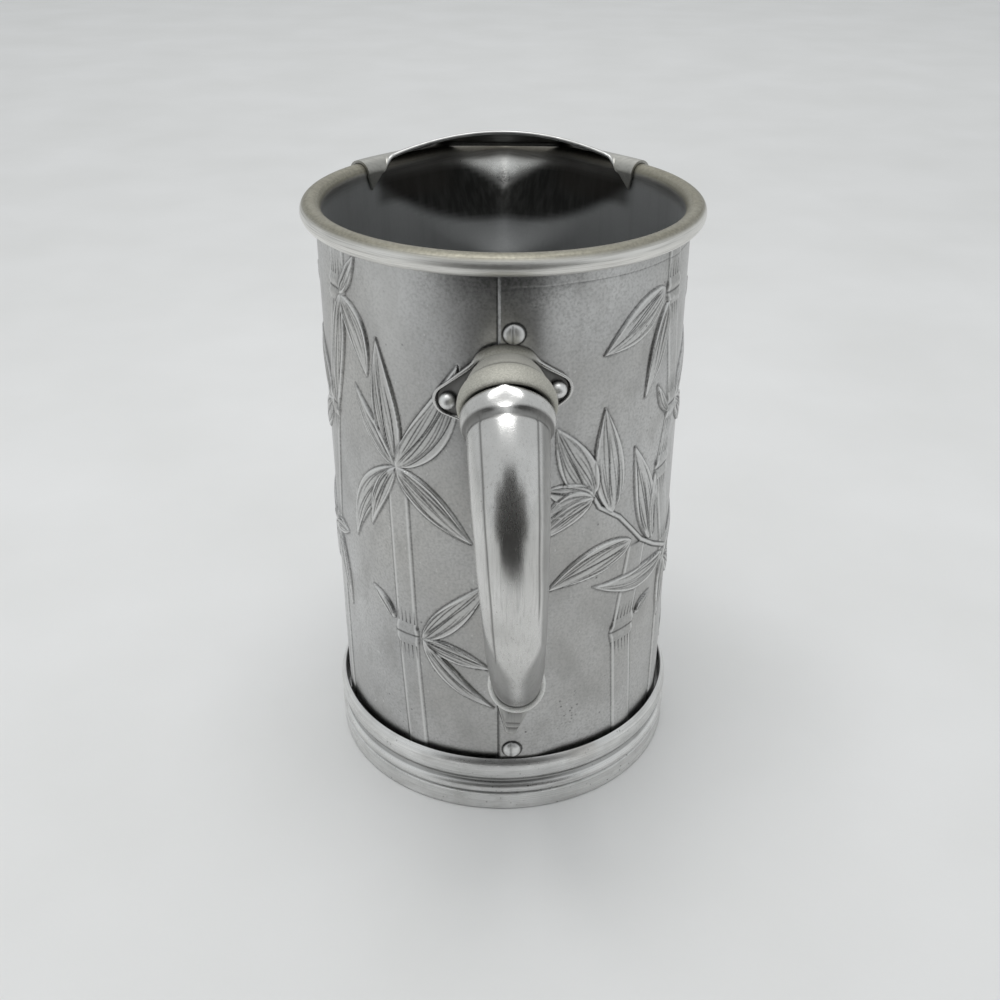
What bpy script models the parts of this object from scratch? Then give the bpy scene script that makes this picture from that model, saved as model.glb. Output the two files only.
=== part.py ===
"""Water pitcher of bare sheet aluminium, put together from separate pieces.

A seamless vessel with a rolled rim and a V spout stands inside a lapped jacket sheet, which is pressed
with a bamboo relief.  A turned foot ring carries both, an ice guard is clipped over the rim in front of
the spout, and a hollow, tapered handle sits in two sockets that are riveted through the jacket and the
vessel wall.
Metres, +Z up, the spout towards +Y, the handle towards -Y, the foot on the plane z = 0.
"""

import math

import bmesh
import bpy
import numpy as np
from mathutils import geometry

MM = 0.001

# Fits between neighbouring pieces
SHEET_GAP = 0.3 * MM
SEAT_GAP = 0.3 * MM
RIVET_HOLE_CLEARANCE = 0.3 * MM
SPIGOT_CLEARANCE = 0.3 * MM

# Vessel
VESSEL_INNER_RADIUS = 60.6 * MM
VESSEL_WALL = 1.0 * MM
VESSEL_CORNER_RADIUS = 5.0 * MM
RIM_TOP_HEIGHT = 213.9 * MM
RIM_ROLL_RADIUS = 3.5 * MM
RIM_ROLL_END = math.radians(-105)
SPOUT_REACH = 27.0 * MM
SPOUT_DROP = 42.0 * MM
SPOUT_TIP_ROUNDING = math.radians(3)
SPOUT_TIP_DIP = 3.5 * MM
SPOUT_ROLL_SHARE = 0.6

# Jacket
JACKET_WALL = 0.8 * MM
LAP_EDGE_ANGLE = math.radians(-1.6)
LAP_WIDTH = 10.0 * MM
JOGGLE_WIDTH = 14.0 * MM
NOTCH_MARGIN = 2.0 * MM

# Bamboo relief of the jacket, drawn flat between these heights and stretched to the sheet
DRAWING_BOTTOM = 11.1 * MM
DRAWING_TOP = 206.6 * MM
RELIEF_EDGE = 0.7 * MM
RELIEF_MARGIN = 1.5 * MM
LEAF_RAISE = 0.6 * MM
LEAF_FOOT_POWER = 0.75
LEAF_SIDE_POWER = 0.9
LEAST_LEAF_HALF_WIDTH = 3.8
STALK_RAISE = 0.55 * MM
NODE_BULGE = 0.4 * MM
NODE_HALF_HEIGHT = 1.6 * MM
NODE_REACH = 4.4 * MM
NODE_WIDENING = 0.16

# Stalks: half width in millimetres, a run of (degrees round the body, height in millimetres) down the
# stalk, and the heights of its nodes
STALKS = (
    (4.6, ((-56, 210), (-57, 193), (-66, 150), (-73, 98), (-72, 10)), (193, 150, 98)),
    (4.3, ((-34, 137), (-32.6, 72), (-29.5, 10)), (72,)),
    (5.3, ((48, 103), (42.3, 69.5), (46, 10)), (69.5,)),
    (4.4, ((59.5, 210), (60, 192), (66, 150), (60, 128), (69, 90), (68, 10)), (192, 150, 128, 90)),
    (5.0, ((103, 210), (100, 172), (105, 118), (101, 62), (103, 10)), (172, 118, 62)),
    (4.4, ((141, 128), (138, 70), (141, 10)), (70,)),
    (4.8, ((181, 112), (178, 60), (180, 10)), (60,)),
    (4.4, ((221, 132), (224, 75), (220, 10)), (75,)),
    (5.0, ((257, 210), (260, 178), (255, 120), (259, 66), (257, 10)), (178, 120, 66)),
)

# Sprays: (degrees, height in millimetres) of the foot, then for each leaf its tip across and up from
# the foot, its half width and its bend to the left, all in millimetres
SPRAYS = (
    ((-55, 191.5), ((12, -25, 4.3, 2.5), (-8, -44, 3.5, -1), (9, 15, 2.0, 0))),
    ((-73, 98), ((13, 2, 2.5, 0), (11, -31, 3.0, 1), (-20, 12, 3.4, 1), (-16, -28, 3.8, -1))),
    ((-66, 150), ((-17, 22, 3.6, 1), (-20, -20, 4.0, -1))),
    ((-34, 138), ((-6, 44, 4.9, 0), (-18, 25, 2.9, 1.3), (23, 40, 6.0, -3), (-23, -36, 4.2, -3.5),
                  (-13, -27, 2.6, -1.5), (27, -24, 4.3, 0))),
    ((-27, 71.5), ((25, 28, 4.3, -0.5), (26, -9, 2.9, 0.4), (27, -26, 2.9, -2.5))),
    ((-37.5, 76), ((-11, 10.5, 1.6, -1),)),
    ((54, 194.5), ((-27, -16.5, 5.3, 0.8),)),
    ((57, 189), ((-11, -31, 3.8, 0.5),)),
    ((62, 148), ((-9, 13, 1.6, 0.6),)),
    ((68, 150), ((20, 20, 4.2, -1), (22, -18, 4.4, 1))),
    ((68, 86), ((-2, -26, 3.5, 0.5), (20, 14, 3.8, -1), (24, -22, 4.2, 1.5))),
    ((35.5, 120.6), ((-5, 40, 5.7, 0),)),
    ((55, 101), ((-12.3, 41.5, 5.0, -1),)),
    ((57, 100), ((-1, 28, 2.5, 0.6),)),
    ((44.8, 105.5), ((-35, -10.3, 5.2, -2),)),
    ((66.7, 88.4), ((-41.5, 4.1, 3.8, 2.5),)),
    ((49, 72), ((10.2, 5.5, 1.5, 0.5),)),
    ((28, 128.5), ((-14, 28, 5.8, 0), (-18, 6, 4.0, 0), (-18, -4, 4.0, -1.5), (-21, -13, 3.5, -1))),
    ((103, 172), ((25, 14, 4.6, -1), (22, -24, 4.4, 1.5), (-20, -26, 4.0, -1), (-21, 16, 3.8, 1))),
    ((128, 139), ((-3, 38, 5.2, 0), (20, 26, 5.0, -1), (24, -6, 4.2, 1), (-19, 22, 4.0, 1))),
    ((102, 62), ((26, 24, 4.4, -1), (27, -14, 3.4, 1), (-22, 20, 3.8, 1), (-20, -26, 3.6, -1))),
    ((141, 128), ((-24, -22, 4.4, 1), (20, -30, 4.2, 1.5))),
    ((138, 70), ((25, 20, 4.0, -1), (24, -24, 3.4, 1), (-20, -22, 3.2, -1))),
    ((180, 112), ((-6, 46, 5.0, 0.5), (20, 38, 5.2, -2), (-24, 26, 4.6, 2), (25, -20, 4.2, 1),
                  (-25, -18, 4.0, -1))),
    ((178, 60), ((24, 22, 4.0, -1), (-22, 20, 3.8, 1), (25, -22, 3.2, 1.5), (-24, -20, 3.4, -1))),
    ((222, 132), ((6, 40, 5.0, 0), (-20, 26, 4.2, 1), (23, 14, 4.4, -1), (-22, -26, 4.2, -1.5),
                  (20, -30, 4.0, 1))),
    ((224, 75), ((-24, 24, 4.2, 1), (-25, -16, 3.4, -1), (22, -24, 3.4, 1))),
    ((258, 178), ((-24, 14, 4.6, 1), (-22, -26, 4.4, -1.5), (20, -24, 4.0, 1), (20, 15, 3.6, -1))),
    ((234, 142), ((2, 36, 4.8, 0), (-19, 22, 4.4, 1), (18, 24, 4.0, -1))),
    ((257, 66), ((-25, 24, 4.4, 1), (-26, -16, 3.4, -1), (22, 22, 3.8, -1), (20, -26, 3.6, 1))),
)

# Foot ring
FOOT_HEIGHT = 23.5 * MM
FOOT_WALL = 1.0 * MM
FOOT_UPPER_BEAD_HEIGHT = 9.3 * MM
FOOT_UPPER_BEAD_BULGE = 1.2 * MM
FOOT_GROOVE_HEIGHT = 2.0 * MM
FOOT_LOWER_BEAD_HEIGHT = 4.6 * MM
FOOT_LOWER_BEAD_BULGE = 1.1 * MM
FOOT_BAND_STEP = 0.9 * MM
FOOT_EDGE_CHAMFER = 0.5 * MM
FOOT_FLANGE_WIDTH = 9.0 * MM
FOOT_SHELF_HEIGHT = 10.8 * MM
FOOT_SHELF_WIDTH = 9.0 * MM

# Ice guard
GUARD_WALL = 0.9 * MM
GUARD_END_ANGLE = math.radians(50)
GUARD_CROSSING_HALF = 23.5 * MM
GUARD_CROSSING_RISE = 1.2 * MM
GUARD_RISE_LEAD = 2.4 * MM
GUARD_RISE_RUN = 11.8 * MM
GUARD_ARCH_RISE = 6.6 * MM
GUARD_ARCH_FRONT = 54.0 * MM
GUARD_TAB_WIDTH = 4.6 * MM
GUARD_TAB_DEPTH = 9.5 * MM
GUARD_FRONT_TURN = math.radians(60)
GUARD_BACK_TURN = math.radians(90)
GUARD_CLIP_FRONT_TURN = math.radians(18)
GUARD_CLIP_BACK_TURN = math.radians(175)

# Handle as a whole
HANDLE_ANGLE = math.radians(0.8)
HANDLE_LEAN = math.radians(1.9)
HANDLE_TOP_DROP = 43.3 * MM
HANDLE_BOTTOM_HEIGHT = 57.5 * MM
HANDLE_REACH = 39.3 * MM
HANDLE_WIDEST_DROP = 40.6 * MM
ELBOW_START_RISE = math.radians(33)
ELBOW_END_RISE = math.radians(-29)
HANDLE_BOTTOM_RISE = math.radians(40)

# Handle grip
GRIP_TOP_RADIUS = 12.6 * MM
GRIP_MIDDLE_RADIUS = 10.3 * MM
GRIP_BOTTOM_RADIUS = 7.8 * MM
GRIP_WALL = 1.2 * MM
GRIP_TOP_PULL = 0.75
GRIP_SHOULDER_PULL = 0.62
GRIP_BACK_PULL = 0.5
GRIP_BOTTOM_PULL = 0.75
GRIP_COLLAR_HEIGHT = 2.0 * MM
GRIP_COLLAR_WIDTH = 6.2 * MM
GRIP_COLLAR_GAP = 1.1 * MM
SPIGOT_LENGTH = 6.0 * MM
SPIGOT_STEP = 1.2 * MM

# Upper socket
FLANGE_THICKNESS = 1.6 * MM
FLANGE_CENTRE_RADIUS = 13.8 * MM
FLANGE_END_RADIUS = 5.0 * MM
EAR_LEFT_SIDE = 18.1 * MM
EAR_LEFT_DROP = 3.1 * MM
EAR_RIGHT_SIDE = 15.6 * MM
EAR_RIGHT_DROP = 0.3 * MM
UPPER_LIP_DISTANCE = 16.7 * MM
UPPER_LIP_RADIUS = 15.0 * MM
UPPER_LIP_WIDTH = 4.2 * MM
UPPER_NECK_RADIUS = 13.8 * MM
UPPER_NECK_LENGTH = 5.0 * MM
UPPER_THROAT_RADIUS = 12.6 * MM
UPPER_FOOT_RADIUS = 12.4 * MM

# Lower socket
TAIL_LENGTH = 21.0 * MM
TAIL_TIP_RADIUS = 1.2 * MM
TAIL_STEP = 0.5 * MM
TAIL_SHARES = (1.0, 0.84, 0.68)
LOWER_BASE_RADIUS = 8.4 * MM
LOWER_BASE_THICKNESS = 1.0 * MM
LOWER_LIP_DISTANCE = 14.5 * MM
LOWER_LIP_RADIUS = 9.2 * MM
LOWER_LIP_WIDTH = 2.2 * MM
LOWER_NECK_RADIUS = 8.5 * MM
LOWER_NECK_LENGTH = 2.6 * MM
LOWER_FOOT_RADIUS = 8.0 * MM

# Rivets
RIVET_SHANK_RADIUS = 1.6 * MM
RIVET_TAIL_RADIUS = 3.0 * MM
RIVET_TAIL_HEIGHT = 1.1 * MM
EAR_RIVET_HEAD_RADIUS = 2.8 * MM
EAR_RIVET_HEAD_HEIGHT = 2.2 * MM
SEAM_RIVET_INSET = 4.8 * MM
SEAM_RIVET_HEAD_RADIUS = 3.3 * MM
SEAM_RIVET_HEAD_HEIGHT = 1.5 * MM
SEAM_RIVET_SOCKET_CLEARANCE = 1.3 * MM
SEAM_RIVET_FOOT_CLEARANCE = 0.8 * MM
LOWER_RIVET_DEPTH = 4.0 * MM

# Facets
ROUND_STEPS = 56
SPOUT_STEPS = 22
SPOUT_ROWS = 4
CORNER_STEPS = 3
RIM_STEPS = 9
JACKET_STEPS = 100
UPRIGHT_STRIDE = 2
LEAF_OUTER_SHARES = (0.0, 0.14, 0.42, 0.76, 1.0)
LEAF_INNER_SHARES = (0.18, 0.42, 0.74)
UPPER_BEAD_STEPS = 5
LOWER_BEAD_STEPS = 3
GUARD_PATH_STEPS = 59
GUARD_ARCH_STEPS = 8
GUARD_CLIP_STEPS = 4
GUARD_TAB_STEPS = 6
GUARD_SEAT_ROWS = 5
GUARD_VISOR_ROWS = 3
HANDLE_STEPS = 18
GRIP_UPPER_STEPS = 11
GRIP_LOWER_STEPS = 10
COLLAR_STEPS = 4
UPPER_SOCKET_STEPS = 32
LOWER_SOCKET_STEPS = 24
SOCKET_BACK_SHARES = (0.25, 0.6, 1.0)
LIP_STEPS = 6
RIVET_STEPS = 12
RIVET_DOME_STEPS = 4
STEEPEST_TURN = math.radians(85)
SHARP_ANGLE = math.radians(35)
MERGE_DISTANCE = 0.001 * MM
DRAWING_MERGE = 0.02 * MM
INSIDE_BORDER = 1

# Radii and heights that follow from the sizes above
VESSEL_OUTER_RADIUS = VESSEL_INNER_RADIUS + VESSEL_WALL
JACKET_INNER_RADIUS = VESSEL_OUTER_RADIUS + SHEET_GAP
JACKET_OUTER_RADIUS = JACKET_INNER_RADIUS + JACKET_WALL
LAP_STEP = JACKET_WALL + SHEET_GAP
LAP_OUTER_RADIUS = JACKET_OUTER_RADIUS + LAP_STEP
RIM_CENTRE_HEIGHT = RIM_TOP_HEIGHT - RIM_ROLL_RADIUS
BODY_BOTTOM_HEIGHT = FOOT_SHELF_HEIGHT + SEAT_GAP
JACKET_TOP_HEIGHT = RIM_TOP_HEIGHT - 2 * RIM_ROLL_RADIUS - SEAT_GAP
SPOUT_FOOT_HEIGHT = RIM_TOP_HEIGHT - SPOUT_DROP
HANDLE_TOP_HEIGHT = RIM_TOP_HEIGHT - HANDLE_TOP_DROP
HANDLE_WIDEST_HEIGHT = HANDLE_TOP_HEIGHT - HANDLE_WIDEST_DROP
SEAM_RIVET_TOP_HEIGHT = (
    HANDLE_TOP_HEIGHT + FLANGE_CENTRE_RADIUS + SEAM_RIVET_SOCKET_CLEARANCE + SEAM_RIVET_HEAD_RADIUS
)
SEAM_RIVET_BOTTOM_HEIGHT = FOOT_HEIGHT + SEAM_RIVET_FOOT_CLEARANCE + SEAM_RIVET_HEAD_RADIUS
SOCKET_BACK_RADIUS = LAP_OUTER_RADIUS + SEAT_GAP
SPIGOT_TOP_RADIUS = GRIP_TOP_RADIUS - SPIGOT_STEP
SPIGOT_BOTTOM_RADIUS = GRIP_BOTTOM_RADIUS - SPIGOT_STEP
RIVET_HOLE_RADIUS = RIVET_SHANK_RADIUS + RIVET_HOLE_CLEARANCE
EARS = ((-EAR_LEFT_SIDE, -EAR_LEFT_DROP), (EAR_RIGHT_SIDE, -EAR_RIGHT_DROP))

# The origin lies under the middle of the whole, between the spout's tip and the handle's back
SPOUT_TIP_TURN = math.acos(VESSEL_INNER_RADIUS / (VESSEL_INNER_RADIUS + SPOUT_REACH)) - SPOUT_TIP_ROUNDING
SPOUT_TIP_RADIUS = VESSEL_INNER_RADIUS / math.cos(max(0.0, SPOUT_TIP_TURN))
SPOUT_FRONT = SPOUT_TIP_RADIUS + 2 * RIM_ROLL_RADIUS * SPOUT_ROLL_SHARE
HANDLE_BACK = LAP_OUTER_RADIUS + HANDLE_REACH + GRIP_MIDDLE_RADIUS
AXIS_Y = (HANDLE_BACK - SPOUT_FRONT) / 2


def clear_scene():
    """Remove every object of the scene."""
    for item in list(bpy.data.objects):
        bpy.data.objects.remove(item, do_unlink=True)


def metal(name, colour, roughness):
    """A bare metal finish."""
    material = bpy.data.materials.new(name)
    material.use_nodes = True
    shader = material.node_tree.nodes["Principled BSDF"]
    shader.inputs["Base Color"].default_value = (*colour, 1.0)
    shader.inputs["Metallic"].default_value = 1.0
    shader.inputs["Roughness"].default_value = roughness
    return material


def smoothstep(x):
    """Ease from 0 to 1 while x goes from 0 to 1."""
    x = np.clip(x, 0.0, 1.0)
    return x * x * (3.0 - 2.0 * x)


def arc(centre, radius, start, end, count):
    """Points along an arc in the plane of a profile, as (across, up)."""
    angles = np.linspace(start, end, count)
    return [(centre[0] + radius * math.cos(a), centre[1] + radius * math.sin(a)) for a in angles]


def around(angle, radius, height):
    """The point at an angle about the pitcher's axis, counted from the handle's side towards +X."""
    return np.stack(
        np.broadcast_arrays(radius * np.sin(angle), AXIS_Y - radius * np.cos(angle), height), axis=-1
    )


def lift(plan, height):
    """Points in plan, counted from the axis, at a height."""
    height = np.broadcast_to(height, plan.shape[:-1])
    return np.stack((plan[..., 0], plan[..., 1] + AXIS_Y, height), axis=-1)


def add_object(name, shape, material):
    """Put a finished shape into the scene as an object."""
    mesh = bpy.data.meshes.new(name)
    shape.to_mesh(mesh)
    shape.free()
    item = bpy.data.objects.new(name, mesh)
    bpy.context.scene.collection.objects.link(item)
    mesh.materials.append(material)
    mesh.shade_smooth()
    mesh.set_sharp_from_angle(angle=SHARP_ANGLE)
    return item


def piece(name, rows, material, closed_round, closed_rows=False, caps=False, wall=None, wall_side=0):
    """An object from rows of points, as quads between neighbouring rows.

    closed_round joins the last point of each row to its first, closed_rows the last row to the first,
    and caps closes both ends with a centre point.  A wall gives an open sheet its thickness.
    """
    rows = np.asarray(rows, dtype=float)
    count, width = rows.shape[:2]
    shape = bmesh.new()
    points = [[shape.verts.new(p) for p in row] for row in rows]
    row_pairs = count if closed_rows else count - 1
    column_pairs = width if closed_round else width - 1
    for i in range(row_pairs):
        here = points[i]
        there = points[(i + 1) % count]
        for j in range(column_pairs):
            k = (j + 1) % width
            shape.faces.new((here[j], here[k], there[k], there[j]))
    if caps:
        for row, loop in ((rows[0], points[0][::-1]), (rows[-1], points[-1])):
            centre = shape.verts.new(row.mean(axis=0))
            for j in range(width):
                shape.faces.new((centre, loop[j], loop[(j + 1) % width]))
    bmesh.ops.remove_doubles(shape, verts=shape.verts, dist=MERGE_DISTANCE)
    if wall is None:
        bmesh.ops.recalc_face_normals(shape, faces=shape.faces)
    item = add_object(name, shape, material)
    if wall is not None:
        solid = item.modifiers.new("wall", "SOLIDIFY")
        solid.thickness = wall
        solid.offset = wall_side
        solid.use_even_offset = True
    return item


def drill(item, start, end, radius):
    """Cut a round hole between two points through an object."""
    start = np.asarray(start, dtype=float)
    end = np.asarray(end, dtype=float)
    along = (end - start) / np.linalg.norm(end - start)
    side = np.cross(along, (0.0, 0.0, 1.0))
    side /= np.linalg.norm(side)
    up = np.cross(side, along)
    angles = np.linspace(0, 2 * math.pi, RIVET_STEPS, endpoint=False)
    ring = radius * (np.cos(angles)[:, None] * side + np.sin(angles)[:, None] * up)
    cutter = piece(item.name + "_drill", [start + ring, end + ring], item.data.materials[0], True, caps=True)
    cutter.hide_render = True
    cutter.display_type = "WIRE"
    cut = item.modifiers.new("hole", "BOOLEAN")
    cut.operation = "DIFFERENCE"
    cut.solver = "EXACT"
    cut.object = cutter


def from_spout(angle):
    """How far an angle about the axis lies from the spout's middle, to either side."""
    return np.abs(angle % (2 * math.pi) - math.pi)


def spout_half_angle(height):
    """Half the angle that the spout's flat sides take up at a height, where they touch the round wall."""
    share = (height - SPOUT_FOOT_HEIGHT) / (RIM_CENTRE_HEIGHT - SPOUT_FOOT_HEIGHT)
    crease = VESSEL_INNER_RADIUS + SPOUT_REACH * np.clip(share, 0.0, 1.0)
    return np.arccos(VESSEL_INNER_RADIUS / crease)


def spout_angles():
    """Angles about the axis, close together across the spout, counted from the handle's side."""
    half = float(spout_half_angle(RIM_CENTRE_HEIGHT))
    across = np.linspace(-half, half, SPOUT_STEPS + 1) + math.pi
    rest = np.linspace(math.pi + half, 3 * math.pi - half, ROUND_STEPS - SPOUT_STEPS + 1)[1:-1]
    return np.concatenate((across, rest))


def wall_plan(angle, height):
    """The vessel's inner wall in plan: round, with two flat sides that meet in the spout's crease."""
    off = from_spout(angle)
    soft = np.sqrt(off**2 + SPOUT_TIP_ROUNDING**2)
    turn = np.maximum(0.0, spout_half_angle(height) - soft)
    radius = VESSEL_INNER_RADIUS / np.cos(turn)
    return np.stack((radius * np.sin(angle), -radius * np.cos(angle)), axis=-1)


def plan_normal(angle):
    """The outward direction of the rim in plan."""
    step = 1e-4
    along = wall_plan(angle + step, RIM_CENTRE_HEIGHT) - wall_plan(angle - step, RIM_CENTRE_HEIGHT)
    along /= np.linalg.norm(along, axis=-1, keepdims=True)
    return np.stack((along[..., 1], -along[..., 0]), axis=-1)


def rim_roll(angle):
    """The radius of the rolled rim, slimmer along the spout."""
    off = from_spout(angle)
    half = spout_half_angle(RIM_CENTRE_HEIGHT)
    return RIM_ROLL_RADIUS * (SPOUT_ROLL_SHARE + (1 - SPOUT_ROLL_SHARE) * smoothstep(off / half))


def rim_dip(angle):
    """How far the rim sinks towards the spout's tip."""
    off = from_spout(angle)
    return SPOUT_TIP_DIP * (1 - smoothstep(off / (spout_half_angle(RIM_CENTRE_HEIGHT) / 2)))


def make_vessel(material):
    """The seamless cup: floor, corner, wall with the spout, and the rim rolled outwards."""
    angles = spout_angles()
    floor = BODY_BOTTOM_HEIGHT + VESSEL_WALL
    corner = arc(
        (VESSEL_INNER_RADIUS - VESSEL_CORNER_RADIUS, floor + VESSEL_CORNER_RADIUS),
        VESSEL_CORNER_RADIUS, -math.pi / 2, 0, CORNER_STEPS + 1,
    )
    rows = []
    for radius, height in [(0.0, floor)] + corner:
        rows.append(around(angles, radius, height))
    dip = rim_dip(angles)
    for share in np.linspace(0, 1, SPOUT_ROWS + 1):
        height = SPOUT_FOOT_HEIGHT + (RIM_CENTRE_HEIGHT - SPOUT_FOOT_HEIGHT) * share
        rows.append(lift(wall_plan(angles, height), height - dip * share))
    wall = wall_plan(angles, RIM_CENTRE_HEIGHT)
    out = plan_normal(angles)
    roll = rim_roll(angles)
    for turn in np.linspace(math.pi, RIM_ROLL_END, RIM_STEPS + 1)[1:]:
        plan = wall + out * (roll * (1 + math.cos(turn)))[:, None]
        rows.append(lift(plan, RIM_TOP_HEIGHT - dip - roll + roll * math.sin(turn)))
    return piece("vessel", rows, material, True, wall=VESSEL_WALL, wall_side=1)


def jacket_radius(along):
    """The plain sheet's outer radius along the flat sheet, joggled outwards over the lap."""
    raised = 1 - smoothstep((along - LAP_WIDTH - LAP_STEP) / JOGGLE_WIDTH)
    return JACKET_OUTER_RADIUS + LAP_STEP * raised


def along_sheet(degrees):
    """Distance along the flat sheet from its outer edge to a place in degrees round the body."""
    return (np.radians(degrees) - LAP_EDGE_ANGLE) % (2 * math.pi) * JACKET_OUTER_RADIUS


def stretched(height):
    """The height on the body of a height in the drawing."""
    share = (height - DRAWING_BOTTOM) / (DRAWING_TOP - DRAWING_BOTTOM)
    return BODY_BOTTOM_HEIGHT + (JACKET_TOP_HEIGHT - BODY_BOTTOM_HEIGHT) * share


def drawn(height):
    """The height in the drawing of a height on the body."""
    share = (height - BODY_BOTTOM_HEIGHT) / (JACKET_TOP_HEIGHT - BODY_BOTTOM_HEIGHT)
    return DRAWING_BOTTOM + (DRAWING_TOP - DRAWING_BOTTOM) * share


def main_leaves():
    """The leaves that are broad enough to be modelled, each with its spray's foot."""
    return [(foot, leaf) for foot, spray in SPRAYS for leaf in spray if leaf[2] >= LEAST_LEAF_HALF_WIDTH]


def leaf_line(foot, leaf):
    """A leaf's foot on the flat sheet, its direction and its length."""
    length = math.hypot(leaf[0], leaf[1])
    start = np.array((along_sheet(foot[0]), foot[1] * MM))
    return start, np.array(leaf[:2]) / length, length * MM


def leaf_half_width(leaf, share):
    """Half a leaf's width at a share of its length."""
    swell = np.maximum(np.sin(math.pi * share**LEAF_FOOT_POWER), 0.0)
    return leaf[2] * MM * swell**LEAF_SIDE_POWER


def leaf_bow(leaf, share):
    """How far a leaf's middle line bows to its left at a share of its length."""
    return 4 * leaf[3] * MM * share * (1 - share)


def leaf_outline(foot, leaf, shares, inset):
    """The outline of a leaf on the flat sheet, drawn in by an inset, up one side and down the other."""
    start, way, length = leaf_line(foot, leaf)
    left = np.array((-way[1], way[0]))
    shares = np.asarray(shares)
    half = np.maximum(leaf_half_width(leaf, shares) - inset, 0.0)[:, None]
    middle = start + np.outer(shares * length, way) + np.outer(leaf_bow(leaf, shares), left)
    return np.concatenate((middle + half * left, (middle - half * left)[::-1]))


def stalk_half_width(half, nodes, height):
    """Half a stalk's width in the drawing, swelling at its nodes."""
    near = np.zeros_like(height)
    for node in nodes:
        near = np.maximum(near, 1 - np.abs(height - node * MM) / NODE_REACH)
    return half * MM * (1 + NODE_WIDENING * near)


def stalk_middle(run, height):
    """A stalk's middle on the flat sheet at a height of the drawing."""
    heights = [up * MM for _, up in run[::-1]]
    return along_sheet(np.interp(height, heights, [degrees for degrees, _ in run[::-1]]))


def stalk_heights(run, nodes):
    """The heights of the drawing at which a stalk bends or swells, from the lowest."""
    heights = [up * MM for _, up in run]
    offsets = (-NODE_REACH, -NODE_HALF_HEIGHT, NODE_HALF_HEIGHT, NODE_REACH)
    heights += [node * MM + offset for node in nodes for offset in offsets]
    low, high = DRAWING_BOTTOM + RELIEF_MARGIN, DRAWING_TOP - RELIEF_MARGIN
    return np.unique(np.clip(heights, low, min(high, run[0][1] * MM)))


def relief(along, height):
    """How far the pressed sheet stands out at places of the drawing: stalks, their nodes, and leaves."""
    raised = np.zeros_like(height)
    for half, run, nodes in STALKS:
        inside = stalk_half_width(half, nodes, height) - np.abs(along - stalk_middle(run, height))
        inside = np.minimum(inside, run[0][1] * MM - height)
        swell = np.zeros_like(height)
        for node in nodes:
            off = (NODE_REACH - np.abs(height - node * MM)) / (NODE_REACH - NODE_HALF_HEIGHT)
            swell = np.maximum(swell, np.clip(off, 0, 1))
        stalk = (STALK_RAISE + NODE_BULGE * swell) * np.clip(inside / RELIEF_EDGE, 0, 1)
        raised = np.maximum(raised, stalk)
    for foot, leaf in main_leaves():
        start, way, length = leaf_line(foot, leaf)
        x, y = along - start[0], height - start[1]
        share = np.clip((x * way[0] + y * way[1]) / length, 0, 1)
        inside = leaf_half_width(leaf, share) - np.abs(y * way[0] - x * way[1] - leaf_bow(leaf, share))
        raised = np.maximum(raised, LEAF_RAISE * np.clip(inside / RELIEF_EDGE, 0, 1))
    return raised


def relief_lines():
    """The lines along which the sheet is folded by its relief, as runs of places in the drawing."""
    lines = []
    for half, run, nodes in STALKS:
        heights = stalk_heights(run, nodes)
        middle = stalk_middle(run, heights)
        width = stalk_half_width(half, nodes, heights)
        for inset in (0.0, RELIEF_EDGE):
            left = np.stack((middle - width + inset, heights), axis=-1)
            right = np.stack((middle + width - inset, heights), axis=-1)
            lines.append(np.concatenate((left, right[::-1], left[:1])))
        lines += [np.stack((a, b)) for a, b in zip(left[1:-1], right[1:-1])]
    for foot, leaf in main_leaves():
        for shares, inset in ((LEAF_OUTER_SHARES, 0.0), (LEAF_INNER_SHARES, RELIEF_EDGE)):
            outline = leaf_outline(foot, leaf, shares, inset)
            lines.append(np.concatenate((outline, outline[:1])))
    return lines


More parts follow.
